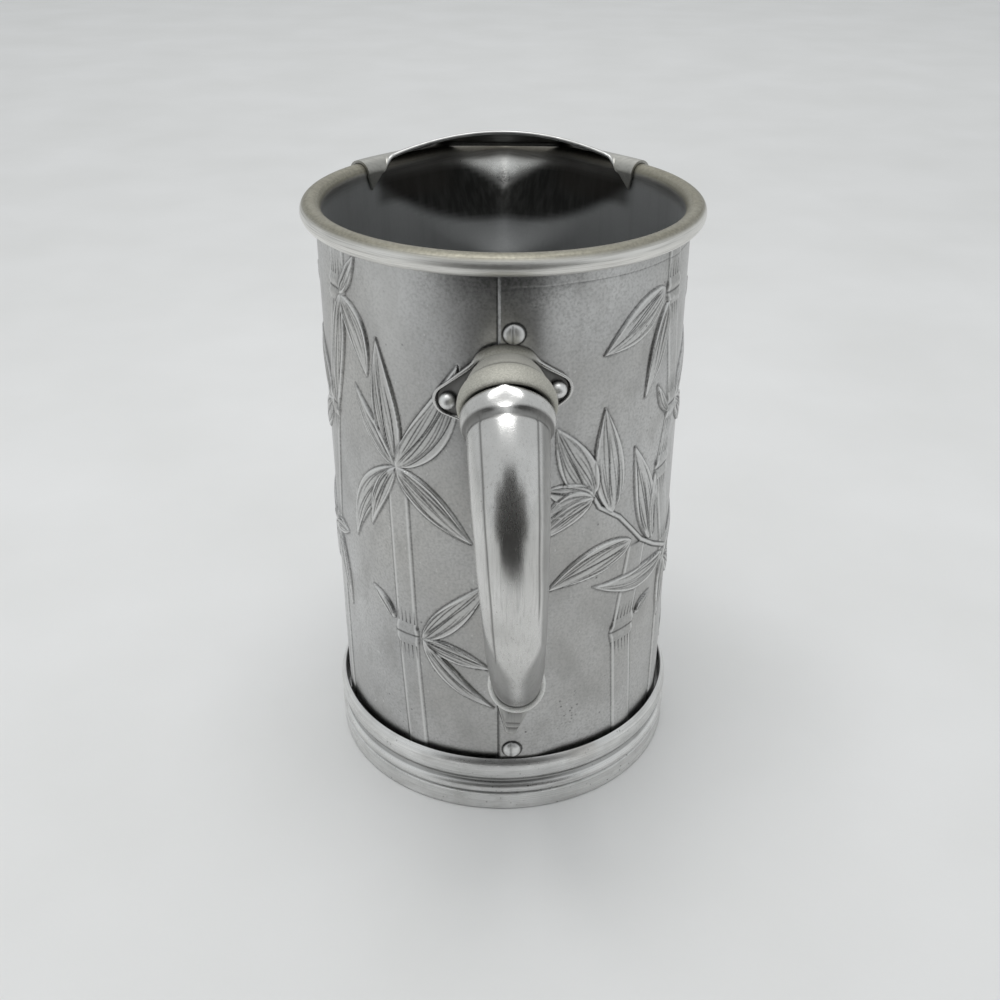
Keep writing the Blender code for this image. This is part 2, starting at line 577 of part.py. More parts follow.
def make_jacket(material):
    """The outer sheet: wrapped round the vessel, lapped beside the handle, notched round the spout.

    The front is a net of triangles over the flat sheet, folded along its uprights and its relief, and
    then wrapped round.  The back is plain and follows the uprights.
    """
    turns = 2 * math.pi + LAP_WIDTH / JACKET_OUTER_RADIUS
    angles = LAP_EDGE_ANGLE + np.linspace(0, turns, JACKET_STEPS + 1)
    along = (angles - LAP_EDGE_ANGLE) * JACKET_OUTER_RADIUS
    touch = np.clip(from_spout(angles) - NOTCH_MARGIN / JACKET_OUTER_RADIUS, 0, STEEPEST_TURN)
    crease = VESSEL_INNER_RADIUS / np.cos(touch) - VESSEL_INNER_RADIUS
    notch = SPOUT_FOOT_HEIGHT + (RIM_CENTRE_HEIGHT - SPOUT_FOOT_HEIGHT) * crease / SPOUT_REACH
    top = np.minimum(JACKET_TOP_HEIGHT, notch - NOTCH_MARGIN)
    width = JACKET_STEPS + 1
    places = [(x, DRAWING_BOTTOM) for x in along] + list(zip(along, drawn(top)))
    border = list(range(width)) + list(range(2 * width - 1, width - 1, -1))
    edges = list(zip(border, border[1:] + border[:1]))
    edges += [(k, k + width) for k in range(UPRIGHT_STRIDE, JACKET_STEPS, UPRIGHT_STRIDE)]
    for run in relief_lines():
        run[:, 0] = np.clip(run[:, 0], RELIEF_MARGIN, along[-1] - LAP_WIDTH - RELIEF_MARGIN)
        ceiling = np.interp(run[:, 0], along, drawn(top)) - RELIEF_MARGIN
        run[:, 1] = np.clip(run[:, 1], DRAWING_BOTTOM + RELIEF_MARGIN, ceiling)
        edges += [(k, k + 1) for k in range(len(places), len(places) + len(run) - 1)]
        places += [tuple(p) for p in run]
    net = geometry.delaunay_2d_cdt(places, edges, [], INSIDE_BORDER, DRAWING_MERGE)
    flat = np.array([tuple(p) for p in net[0]])
    number = {old: new for new, merged in enumerate(net[3]) for old in merged}
    shape = bmesh.new()
    shown = flat[:, 0] < along[-1] - LAP_WIDTH - RELIEF_MARGIN / 2
    out = jacket_radius(flat[:, 0]) + relief(flat[:, 0], flat[:, 1]) * shown
    front = around(LAP_EDGE_ANGLE + flat[:, 0] / JACKET_OUTER_RADIUS, out, stretched(flat[:, 1]))
    points = [shape.verts.new(p) for p in front]
    for corners in net[2]:
        shape.faces.new([points[k] for k in corners])
    inner = jacket_radius(along) - JACKET_WALL
    back = [shape.verts.new(p) for h in (BODY_BOTTOM_HEIGHT, top) for p in around(angles, inner, h)]
    for k in range(JACKET_STEPS):
        shape.faces.new((back[k], back[k + width], back[k + width + 1], back[k + 1]))
    for a, b in zip(border, border[1:] + border[:1]):
        shape.faces.new((points[number[a]], back[a], back[b], points[number[b]]))
    bmesh.ops.recalc_face_normals(shape, faces=shape.faces)
    return add_object("jacket", shape, material)


def make_foot_ring(material):
    """The turned foot: two beads and a groove over a flat band, a shelf under the body, a flange below."""
    throat = LAP_OUTER_RADIUS + SEAT_GAP
    groove = throat + FOOT_WALL
    band = groove + FOOT_BAND_STEP
    bead_top = FOOT_HEIGHT
    bead_bottom = bead_top - FOOT_UPPER_BEAD_HEIGHT
    lower_top = bead_bottom - FOOT_GROOVE_HEIGHT
    lower_bottom = lower_top - FOOT_LOWER_BEAD_HEIGHT
    shelf_bottom = FOOT_SHELF_HEIGHT - FOOT_WALL
    profile = [(throat + FOOT_WALL / 2, bead_top)]
    bead_start = bead_top - FOOT_EDGE_CHAMFER
    for share in np.linspace(0, 1, UPPER_BEAD_STEPS + 1)[1:]:
        bulge = FOOT_UPPER_BEAD_BULGE * math.sin(math.pi * share)
        profile.append((groove + bulge, bead_start + (bead_bottom - bead_start) * share))
    for share in np.linspace(0, 1, LOWER_BEAD_STEPS + 1):
        bulge = FOOT_LOWER_BEAD_BULGE * math.sin(math.pi * share)
        profile.append((groove + bulge, lower_top - FOOT_LOWER_BEAD_HEIGHT * share))
    profile += [
        (band, lower_bottom - FOOT_EDGE_CHAMFER),
        (band, FOOT_EDGE_CHAMFER),
        (band - FOOT_EDGE_CHAMFER, 0.0),
        (band - FOOT_FLANGE_WIDTH, 0.0),
        (band - FOOT_FLANGE_WIDTH, FOOT_WALL),
        (band - FOOT_WALL, FOOT_WALL),
        (band - FOOT_WALL, lower_bottom - FOOT_EDGE_CHAMFER),
        (throat, lower_bottom),
        (throat, shelf_bottom),
        (throat - FOOT_SHELF_WIDTH, shelf_bottom),
        (throat - FOOT_SHELF_WIDTH, FOOT_SHELF_HEIGHT),
        (throat, FOOT_SHELF_HEIGHT),
        (throat, bead_start),
    ]
    angles = np.linspace(0, 2 * math.pi, ROUND_STEPS, endpoint=False)
    rows = [around(angles, radius, height) for radius, height in profile]
    return piece("foot_ring", rows, material, True, closed_rows=True)


def make_ice_guard(material):
    """The visor on the rim: arched in front of the spout, with ends that clip over the bead.

    Each row of points runs from one end to the other.  The first rows pass over the bead's top, and at
    the ends round it too, the last ones lead to the arched inner edge and to the tips of the two tabs.
    """
    path_angles = math.pi + np.linspace(0, GUARD_END_ANGLE, GUARD_PATH_STEPS + 1)
    path_roll = rim_roll(path_angles)
    path = wall_plan(path_angles, RIM_CENTRE_HEIGHT) + plan_normal(path_angles) * path_roll[:, None]
    path_x = -path[:, 0]
    end = path_x[-1]
    tab_start = end - GUARD_TAB_WIDTH
    clip_start = tab_start - GUARD_TAB_WIDTH
    half = np.concatenate((
        np.linspace(0, clip_start, GUARD_ARCH_STEPS + 1),
        np.linspace(clip_start, tab_start, GUARD_CLIP_STEPS + 1)[1:],
        np.linspace(tab_start, end, GUARD_TAB_STEPS + 1)[1:],
    ))
    across = np.concatenate((-half[:0:-1], half))
    side = np.abs(across)
    on_rim = np.maximum(side, GUARD_CROSSING_HALF)
    path_at = np.interp(on_rim, path_x, path_angles)
    roll = np.interp(on_rim, path_x, path_roll)
    out = plan_normal(path_at)
    out[:, 0] = -out[:, 0] * np.sign(across) * smoothstep(side / GUARD_CROSSING_HALF)
    out[:, 1] = np.sqrt(1 - out[:, 0] ** 2)
    bead = np.stack((across, np.interp(on_rim, path_x, path[:, 1])), axis=-1)
    clip = smoothstep((side - clip_start) / (tab_start - clip_start))
    first_turn = GUARD_FRONT_TURN + (GUARD_CLIP_FRONT_TURN - GUARD_FRONT_TURN) * clip
    last_turn = GUARD_BACK_TURN + (GUARD_CLIP_BACK_TURN - GUARD_BACK_TURN) * clip
    clear = roll + SEAT_GAP
    past_crossing = side - GUARD_CROSSING_HALF + GUARD_RISE_LEAD
    raised = GUARD_CROSSING_RISE * (1 - smoothstep(past_crossing / GUARD_RISE_RUN))
    rows = []
    for share in np.linspace(0, 1, GUARD_SEAT_ROWS + 1):
        turn = first_turn + (last_turn - first_turn) * share
        plan = bead + out * (clear * np.cos(turn))[:, None]
        rows.append(lift(plan, RIM_TOP_HEIGHT - roll + raised + clear * np.sin(turn)))
    arch = np.clip(1 - (side / clip_start) ** 2, 0, 1)
    tab = np.clip(1 - np.abs(2 * (side - tab_start) / GUARD_TAB_WIDTH - 1), 0, 1)
    edge = bead - out * clear[:, None]
    corner = edge[np.argmin(np.abs(across - clip_start))]
    outward = np.minimum(side / clip_start, 1)
    arch_front = GUARD_ARCH_FRONT + (corner[1] - GUARD_ARCH_FRONT) * outward**2
    arch_plan = np.stack((np.sign(across) * corner[0] * outward, arch_front), axis=-1)
    inner_plan = np.where((side > clip_start)[:, None], edge, arch_plan)
    arch_height = RIM_TOP_HEIGHT + SEAT_GAP + GUARD_ARCH_RISE * arch
    tab_height = RIM_CENTRE_HEIGHT - SEAT_GAP - GUARD_TAB_DEPTH * tab
    inner = lift(inner_plan, arch_height + (tab_height - arch_height) * clip)
    last = rows[-1]
    for share in np.linspace(0, 1, GUARD_VISOR_ROWS + 1)[1:]:
        rows.append(last + (inner - last) * share)
    item = piece("ice_guard", rows, material, False, wall=GUARD_WALL, wall_side=-1)
    item.modifiers["wall"].use_even_offset = False
    return item


def leaned(side, height):
    """The handle's lean about the upper socket, for a point sideways and up."""
    side = np.asarray(side, dtype=float)
    rise = np.asarray(height, dtype=float) - HANDLE_TOP_HEIGHT
    across = side * math.cos(HANDLE_LEAN) - rise * math.sin(HANDLE_LEAN)
    up = HANDLE_TOP_HEIGHT + side * math.sin(HANDLE_LEAN) + rise * math.cos(HANDLE_LEAN)
    return across, up


def on_handle(side, outward, height):
    """A point of the handle, from its own frame: sideways, outwards from the axis, and up."""
    across, up = leaned(side, height)
    x = across * math.cos(HANDLE_ANGLE) + outward * math.sin(HANDLE_ANGLE)
    y = across * math.sin(HANDLE_ANGLE) - outward * math.cos(HANDLE_ANGLE)
    return np.stack(np.broadcast_arrays(x, y + AXIS_Y, up), axis=-1)


def body_place(side, height):
    """The angle and height on the round body of a point of the handle's frame, sideways and up."""
    across, up = leaned(side, height)
    return HANDLE_ANGLE + across / SOCKET_BACK_RADIUS, up


def upper_line(distance):
    """A point on the upper socket's centre line, as (outward, up), and its direction.

    The line leaves the body rising and turns evenly downwards until it reaches the lip.
    """
    bend = (ELBOW_END_RISE - ELBOW_START_RISE) / UPPER_LIP_DISTANCE
    turn = ELBOW_START_RISE + bend * distance
    outward = SOCKET_BACK_RADIUS + (math.sin(turn) - math.sin(ELBOW_START_RISE)) / bend
    up = HANDLE_TOP_HEIGHT + (math.cos(ELBOW_START_RISE) - math.cos(turn)) / bend
    return np.array((outward, up)), np.array((math.cos(turn), math.sin(turn)))


def lower_line(distance):
    """A point on the lower socket's straight centre line, as (outward, up), and its direction."""
    along = np.array((math.cos(HANDLE_BOTTOM_RISE), math.sin(HANDLE_BOTTOM_RISE)))
    return np.array((SOCKET_BACK_RADIUS, HANDLE_BOTTOM_HEIGHT)) + along * distance, along


def handle_ring(centre, along, radius, steps):
    """A ring of the handle, square to its centre line."""
    angles = np.linspace(0, 2 * math.pi, steps, endpoint=False)
    lift_up = radius * np.sin(angles)
    outward = centre[0] - lift_up * along[1]
    return on_handle(radius * np.cos(angles), outward, centre[1] + lift_up * along[0])


def tapered_outline(angle, big, small, spacing):
    """Distance to the outline of a big disc joined by straight sides to a small one beside it."""
    lean = math.acos(max(-1.0, min(1.0, (big - small) / spacing)))
    end = math.atan2(small * math.sin(lean), spacing + small * math.cos(lean))
    off = np.abs((angle + math.pi) % (2 * math.pi) - math.pi)
    under = np.maximum(small**2 - (spacing * np.sin(off)) ** 2, 0)
    tip = spacing * np.cos(off) + np.sqrt(under)
    straight = big / np.cos(np.minimum(np.abs(off - lean), STEEPEST_TURN))
    return np.where(off > lean, big, np.where(off > end, straight, tip))


def make_socket(name, material, base_height, centre_line, reach, layers, foot, sections):
    """A socket on the body: a flange, a neck, a lip and a blind bore.

    reach holds the distances from the socket's centre to the flange's outline, and layers holds
    (share of the reach, thickness) for each step of the flange.  foot is the neck's radius where it
    leaves the flange, and sections holds (distance, radius) along the centre line, from the neck over
    the lip to the bottom of the bore.
    """
    steps = len(reach)
    angles = np.linspace(0, 2 * math.pi, steps, endpoint=False)
    spreads = [(reach * share, 0.0) for share in SOCKET_BACK_SHARES]
    for share, thickness in layers:
        step = np.maximum(reach * share, foot)
        spreads += [(step, spreads[-1][1]), (step, thickness)]
    spreads.append((np.full(steps, foot), spreads[-1][1]))
    rows = []
    for spread, thickness in spreads:
        angle, height = body_place(spread * np.cos(angles), base_height + spread * np.sin(angles))
        rows.append(around(angle, SOCKET_BACK_RADIUS + thickness, height))
    for distance, radius in sections:
        rows.append(handle_ring(*centre_line(distance), radius, steps))
    return piece(name, rows, material, True, caps=True)


def socket_sections(lip, neck_length, lip_width, throat_radius, neck_radius, lip_radius, bore):
    """Distances and radii along a socket: the neck, the half-round lip, and the bore's two ends."""
    sections = [(lip - lip_width - neck_length, throat_radius)]
    for turn in np.linspace(math.pi, 0, LIP_STEPS + 1):
        swell = (lip_radius - neck_radius) * math.sin(turn)
        sections.append((lip - lip_width / 2 * (1 - math.cos(turn)), neck_radius + swell))
    return sections + [(lip, bore), (lip - SPIGOT_LENGTH - SEAT_GAP, bore)]


def make_upper_socket(material):
    """The upper socket: a flange with two riveted ears, and a bell with a rounded lip."""
    angles = np.linspace(0, 2 * math.pi, UPPER_SOCKET_STEPS, endpoint=False)
    reach = np.full(UPPER_SOCKET_STEPS, FLANGE_CENTRE_RADIUS)
    for side, rise in EARS:
        ear = tapered_outline(
            angles - math.atan2(rise, side), FLANGE_CENTRE_RADIUS, FLANGE_END_RADIUS, math.hypot(side, rise)
        )
        reach = np.maximum(reach, ear)
    sections = socket_sections(
        UPPER_LIP_DISTANCE, UPPER_NECK_LENGTH, UPPER_LIP_WIDTH, UPPER_THROAT_RADIUS, UPPER_NECK_RADIUS,
        UPPER_LIP_RADIUS, SPIGOT_TOP_RADIUS + SPIGOT_CLEARANCE,
    )
    item = make_socket(
        "handle_upper_socket", material, HANDLE_TOP_HEIGHT, upper_line, reach,
        [(1.0, FLANGE_THICKNESS)], UPPER_FOOT_RADIUS, sections,
    )
    for ear in EARS:
        drill(item, *rivet_line(ear_rivet_place(ear), 2 * FLANGE_THICKNESS), RIVET_HOLE_RADIUS)
    return item


def make_lower_socket(material):
    """The lower socket: a cup on a base that runs down into a pointed, stepped tail."""
    angles = np.linspace(0, 2 * math.pi, LOWER_SOCKET_STEPS, endpoint=False)
    reach = tapered_outline(angles + math.pi / 2, LOWER_BASE_RADIUS, TAIL_TIP_RADIUS, TAIL_LENGTH)
    sections = socket_sections(
        LOWER_LIP_DISTANCE, LOWER_NECK_LENGTH, LOWER_LIP_WIDTH, LOWER_NECK_RADIUS, LOWER_NECK_RADIUS,
        LOWER_LIP_RADIUS, SPIGOT_BOTTOM_RADIUS + SPIGOT_CLEARANCE,
    )
    layers = [(share, LOWER_BASE_THICKNESS + TAIL_STEP * k) for k, share in enumerate(TAIL_SHARES)]
    item = make_socket(
        "handle_lower_socket", material, HANDLE_BOTTOM_HEIGHT, lower_line, reach, layers,
        LOWER_FOOT_RADIUS, sections,
    )
    place = body_place(0.0, HANDLE_BOTTOM_HEIGHT)
    drill(item, *rivet_line(place, LOWER_RIVET_DEPTH + SEAT_GAP), RIVET_HOLE_RADIUS)
    return item


def ear_rivet_place(ear):
    """The angle and height at which an ear's rivet goes through the body."""
    side, rise = ear
    return body_place(side, HANDLE_TOP_HEIGHT + rise)


def seam_rivet_place(height):
    """The angle and height at which a seam rivet goes through the lap."""
    return LAP_EDGE_ANGLE + SEAM_RIVET_INSET / LAP_OUTER_RADIUS, height


def rivet_line(place, beyond):
    """The two ends of a rivet's hole, from inside the vessel to a depth beyond the sockets' backs."""
    angle, height = place
    inside = VESSEL_INNER_RADIUS - VESSEL_CORNER_RADIUS
    return around(angle, inside, height), around(angle, SOCKET_BACK_RADIUS + beyond, height)


def bezier(start, start_pull, end_pull, end, shares):
    """Points of a cubic curve between two ends, with its two pulling points."""
    s = np.asarray(shares)[:, None]
    return (
        (1 - s) ** 3 * start + 3 * s * (1 - s) ** 2 * start_pull
        + 3 * s**2 * (1 - s) * end_pull + s**3 * end
    )


def grip_path():
    """The grip's centre line, as (outward, up): out of the upper socket, round the back, to the lower."""
    top, top_way = upper_line(UPPER_LIP_DISTANCE)
    bottom, bottom_way = lower_line(LOWER_LIP_DISTANCE)
    back = np.array((LAP_OUTER_RADIUS + HANDLE_REACH, HANDLE_WIDEST_HEIGHT))
    up = np.array((0.0, 1.0))
    upper = bezier(
        top, top + top_way * (back[0] - top[0]) * GRIP_TOP_PULL,
        back + up * (top[1] - back[1]) * GRIP_SHOULDER_PULL, back,
        np.linspace(0, 1, GRIP_UPPER_STEPS + 1),
    )
    lower = bezier(
        back, back - up * (back[1] - bottom[1]) * GRIP_BACK_PULL,
        bottom + bottom_way * (back[0] - bottom[0]) * GRIP_BOTTOM_PULL, bottom,
        np.linspace(0, 1, GRIP_LOWER_STEPS + 1),
    )
    return np.concatenate((upper, lower[1:]))


def make_grip(material):
    """The hollow grip: a bent tube that narrows downwards, with a collar at the top and two spigots."""
    path = grip_path()
    way = np.gradient(path, axis=0)
    way /= np.linalg.norm(way, axis=1, keepdims=True)
    run = np.concatenate(((0,), np.cumsum(np.linalg.norm(np.diff(path, axis=0), axis=1))))
    share = run / run[-1]
    radius = np.interp(share, (0, 0.5, 1), (GRIP_TOP_RADIUS, GRIP_MIDDLE_RADIUS, GRIP_BOTTOM_RADIUS))
    top, top_way = upper_line(UPPER_LIP_DISTANCE)
    bottom, bottom_way = lower_line(LOWER_LIP_DISTANCE)
    sections = [
        (*upper_line(UPPER_LIP_DISTANCE - SPIGOT_LENGTH), SPIGOT_TOP_RADIUS),
        (top + top_way * SEAT_GAP, top_way, SPIGOT_TOP_RADIUS),
    ]
    for step in np.linspace(0, 1, COLLAR_STEPS + 1):
        swell = GRIP_COLLAR_HEIGHT * math.sin(math.pi * step)
        centre = top + top_way * (GRIP_COLLAR_GAP + GRIP_COLLAR_WIDTH * step)
        sections.append((centre, top_way, GRIP_TOP_RADIUS + swell))
    clear = (run > GRIP_COLLAR_GAP + GRIP_COLLAR_WIDTH) & (run < run[-1] - SEAT_GAP)
    sections += list(zip(path[clear], way[clear], radius[clear]))
    sections += [
        (bottom + bottom_way * GRIP_COLLAR_GAP, -bottom_way, GRIP_BOTTOM_RADIUS),
        (bottom + bottom_way * SEAT_GAP, -bottom_way, SPIGOT_BOTTOM_RADIUS),
        (lower_line(LOWER_LIP_DISTANCE - SPIGOT_LENGTH)[0], -bottom_way, SPIGOT_BOTTOM_RADIUS),
    ]
    rows = [handle_ring(centre, along, ring, HANDLE_STEPS) for centre, along, ring in sections]
    return piece("handle_grip", rows, material, True, wall=GRIP_WALL, wall_side=-1)


def make_rivet(name, material, place, seat_radius, head_radius, head_height):
    """A rivet through the body: a tail inside the vessel, a shank, and a domed head on its seat.

    A head height of nothing leaves the shank's blunt end instead of a head.
    """
    inner = VESSEL_INNER_RADIUS - SEAT_GAP
    profile = []
    for turn in np.linspace(0, math.pi / 2, RIVET_DOME_STEPS):
        profile.append((RIVET_TAIL_RADIUS * math.sin(turn), inner - RIVET_TAIL_HEIGHT * math.cos(turn)))
    profile.append((RIVET_SHANK_RADIUS, inner))
    if head_height:
        profile.append((RIVET_SHANK_RADIUS, seat_radius))
        for turn in np.linspace(math.pi / 2, 0, RIVET_DOME_STEPS + 1):
            profile.append((head_radius * math.sin(turn), seat_radius + head_height * math.cos(turn)))
    else:
        profile += [(RIVET_SHANK_RADIUS, seat_radius), (0.0, seat_radius)]
    angle, height = place
    start = around(angle, 0.0, height)
    along = around(angle, 1.0, height) - start
    across = np.cross(along, (0.0, 0.0, 1.0))
    across /= np.linalg.norm(across)
    above = np.cross(across, along)
    angles = np.linspace(0, 2 * math.pi, RIVET_STEPS, endpoint=False)
    round_way = np.cos(angles)[:, None] * across + np.sin(angles)[:, None] * above
    rows = [start + along * distance + round_way * radius for radius, distance in profile]
    return piece(name, rows, material, True)


def make_rivets(material):
    """Two rivets through the upper socket's ears, two through the lap seam, one behind the lower socket."""
    ear_seat = SOCKET_BACK_RADIUS + FLANGE_THICKNESS + SEAT_GAP
    for name, ear in zip(("ear_rivet_left", "ear_rivet_right"), EARS):
        make_rivet(
            name, material, ear_rivet_place(ear), ear_seat, EAR_RIVET_HEAD_RADIUS, EAR_RIVET_HEAD_HEIGHT
        )
    for name, height in (
        ("seam_rivet_top", SEAM_RIVET_TOP_HEIGHT),
        ("seam_rivet_bottom", SEAM_RIVET_BOTTOM_HEIGHT),
    ):
        make_rivet(
            name, material, seam_rivet_place(height), LAP_OUTER_RADIUS + SEAT_GAP,
            SEAM_RIVET_HEAD_RADIUS, SEAM_RIVET_HEAD_HEIGHT,
        )
    make_rivet(
        "handle_lower_rivet", material, body_place(0.0, HANDLE_BOTTOM_HEIGHT),
        SOCKET_BACK_RADIUS + LOWER_RIVET_DEPTH, 0.0, 0.0,
    )


def drill_body(item):
    """The rivets' holes through the jacket or the vessel."""
    places = [ear_rivet_place(ear) for ear in EARS]
    places.append(body_place(0.0, HANDLE_BOTTOM_HEIGHT))
    places += [seam_rivet_place(SEAM_RIVET_TOP_HEIGHT), seam_rivet_place(SEAM_RIVET_BOTTOM_HEIGHT)]
    for place in places:
        drill(item, *rivet_line(place, FLANGE_THICKNESS), RIVET_HOLE_RADIUS)


clear_scene()
satin = metal("satin_aluminium", (0.55, 0.55, 0.54), 0.42)
drill_body(make_vessel(metal("spun_aluminium", (0.50, 0.50, 0.48), 0.38)))
drill_body(make_jacket(metal("embossed_aluminium", (0.52, 0.52, 0.52), 0.46)))
make_foot_ring(satin)
make_ice_guard(metal("guard_aluminium", (0.50, 0.50, 0.49), 0.40))
polished = metal("polished_aluminium", (0.68, 0.67, 0.65), 0.22)
make_upper_socket(polished)
make_lower_socket(polished)
make_grip(polished)
make_rivets(metal("rivet_aluminium", (0.70, 0.70, 0.69), 0.30))
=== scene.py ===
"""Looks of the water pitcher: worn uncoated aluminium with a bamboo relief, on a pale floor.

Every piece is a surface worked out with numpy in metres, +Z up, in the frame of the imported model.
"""

import math

import bpy
import numpy as np
from mathutils import Matrix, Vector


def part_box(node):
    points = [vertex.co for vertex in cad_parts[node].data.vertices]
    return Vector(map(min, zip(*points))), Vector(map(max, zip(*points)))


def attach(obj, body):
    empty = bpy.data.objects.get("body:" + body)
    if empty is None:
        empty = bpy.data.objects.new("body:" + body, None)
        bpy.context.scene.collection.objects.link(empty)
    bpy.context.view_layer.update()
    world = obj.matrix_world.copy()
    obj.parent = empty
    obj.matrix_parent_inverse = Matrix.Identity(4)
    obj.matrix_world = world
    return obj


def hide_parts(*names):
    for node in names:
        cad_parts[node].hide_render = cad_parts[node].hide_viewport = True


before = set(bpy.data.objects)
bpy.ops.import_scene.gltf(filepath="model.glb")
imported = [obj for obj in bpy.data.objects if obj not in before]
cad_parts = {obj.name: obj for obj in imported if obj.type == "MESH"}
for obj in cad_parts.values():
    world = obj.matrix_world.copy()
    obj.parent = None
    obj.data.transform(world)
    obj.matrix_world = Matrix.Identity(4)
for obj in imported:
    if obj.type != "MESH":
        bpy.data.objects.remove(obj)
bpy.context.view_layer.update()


# Foot ring
# A spun and turned aluminium ring that carries the vessel: a big bead, a groove, a small bead and a
# flat band.  Its flange stands on the table, and the vessel's floor rests on its shelf.
MM = 0.001
foot_low, foot_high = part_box("foot_ring")
AXIS_Y = (foot_low.y + foot_high.y) / 2
FOOT_HEIGHT = foot_high.z
FOOT_THROAT = 64.1 * MM
FOOT_WALL = 1.0 * MM
FOOT_BAND_STEP = 0.9 * MM
FOOT_FLANGE = 9.0 * MM
FOOT_SHELF_TOP = 10.8 * MM
FOOT_SHELF = 9.0 * MM
UPPER_BEAD_HEIGHT = 9.3 * MM
UPPER_BEAD_BULGE = 1.3 * MM
GROOVE_HEIGHT = 2.0 * MM
GROOVE_DEPTH = 0.5 * MM
LOWER_BEAD_HEIGHT = 4.6 * MM
LOWER_BEAD_BULGE = 1.2 * MM
EDGE_ROUND = 0.5 * MM
# How dark the rows go: grime in the groove and under the lower bead, a dark throat, and a painted contact
# shadow on the bottom edge where the ring stands on the floor.
GROOVE_DIRT, BAND_DIRT, FLANGE_CONTACT_SHADE, THROAT_DIRT = 0.45, 0.4, 0.95, 0.9
FOOT_COLUMNS = 288
BEAD_ROWS = 18


def around(angle, radius, height):
    """The point at an angle about the pitcher's axis, counted from the handle's side towards +X."""
    return np.stack(
        np.broadcast_arrays(radius * np.sin(angle), AXIS_Y - radius * np.cos(angle), height), axis=-1
    )


def turned(profile, columns):
    """A grid of rings: each (radius, height) of the profile is carried once round the axis."""
    angle = np.linspace(0, 2 * math.pi, columns, endpoint=False)
    profile = np.asarray(profile)
    return around(angle[None, :], profile[:, :1], profile[:, 1:])


def ring_faces(rows, columns, closed_rows):
    """Quads between neighbouring rings of a grid, as corner numbers."""
    number = np.arange(rows * columns).reshape(rows, columns)
    ahead = np.roll(number, -1, axis=1)
    below = np.roll(number, -1, axis=0)
    below_ahead = np.roll(ahead, -1, axis=0)
    quads = np.stack((number, ahead, below_ahead, below), axis=-1)
    if not closed_rows:
        quads = quads[:-1]
    return quads.reshape(-1, 4)


def skin(name, grid, closed_rows=False, marks=None):
    """A closed body over a grid whose rows are rings.

    Both ends get a fan to the middle of their ring, unless the last row joins the first again.
    marks holds a number for each point of the grid, kept on the mesh under the mark's name.
    """
    rows, columns = grid.shape[:2]
    points = grid.reshape(-1, 3)
    faces = [ring_faces(rows, columns, closed_rows)]
    marks = {key: value.reshape(-1) for key, value in (marks or {}).items()}
    if not closed_rows:
        first = np.arange(columns)
        last = first + (rows - 1) * columns
        middles = np.stack((points[first].mean(axis=0), points[last].mean(axis=0)))
        top = np.full(columns, len(points))
        faces.append(np.stack((top, np.roll(first, -1), first), axis=-1))
        faces.append(np.stack((top + 1, last, np.roll(last, -1)), axis=-1))
        points = np.concatenate((points, middles))
        for key, value in marks.items():
            marks[key] = np.concatenate((value, (value[first].mean(), value[last].mean())))
    return body(name, points, faces, marks)


def volume_of(points, faces):
    """Six times the signed volume inside the faces: the sum of the corner triangles' products."""
    total = 0.0
    for corners in faces:
        for k in range(1, corners.shape[1] - 1):
            a, b, c = points[corners[:, 0]], points[corners[:, k]], points[corners[:, k + 1]]
            total += np.einsum("ij,ij->", a, np.cross(b, c))
    return total


def body(name, points, faces, marks, sharp=40):
    """A mesh object from points, arrays of faces and marks, with its faces turned outwards."""
    if volume_of(points - points.mean(axis=0), faces) < 0:
        faces = [corners[:, ::-1] for corners in faces]
    sizes = np.concatenate([np.full(len(corners), corners.shape[1]) for corners in faces])
    mesh = bpy.data.meshes.new(name)
    mesh.vertices.add(len(points))
    mesh.vertices.foreach_set("co", points.astype(np.float32).ravel())
    mesh.loops.add(int(sizes.sum()))
    mesh.loops.foreach_set("vertex_index", np.concatenate([c.ravel() for c in faces]).astype(np.int32))
    mesh.polygons.add(len(sizes))
    mesh.polygons.foreach_set("loop_start", (np.cumsum(sizes) - sizes).astype(np.int32))
    mesh.update(calc_edges=True)
    mesh.shade_smooth()
    mesh.set_sharp_from_angle(angle=math.radians(sharp))
    for key, value in marks.items():
        mark = mesh.attributes.new(key, "FLOAT", "POINT")
        mark.data.foreach_set("value", value.astype(np.float32))
    piece = bpy.data.objects.new(name, mesh)
    bpy.context.scene.collection.objects.link(piece)
    return piece


def put_on(piece, node, material):
    """Give a piece its finish and set it in the frame in place of a solid."""
    piece.data.materials.append(material)
    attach(piece, "root")
    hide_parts(node)


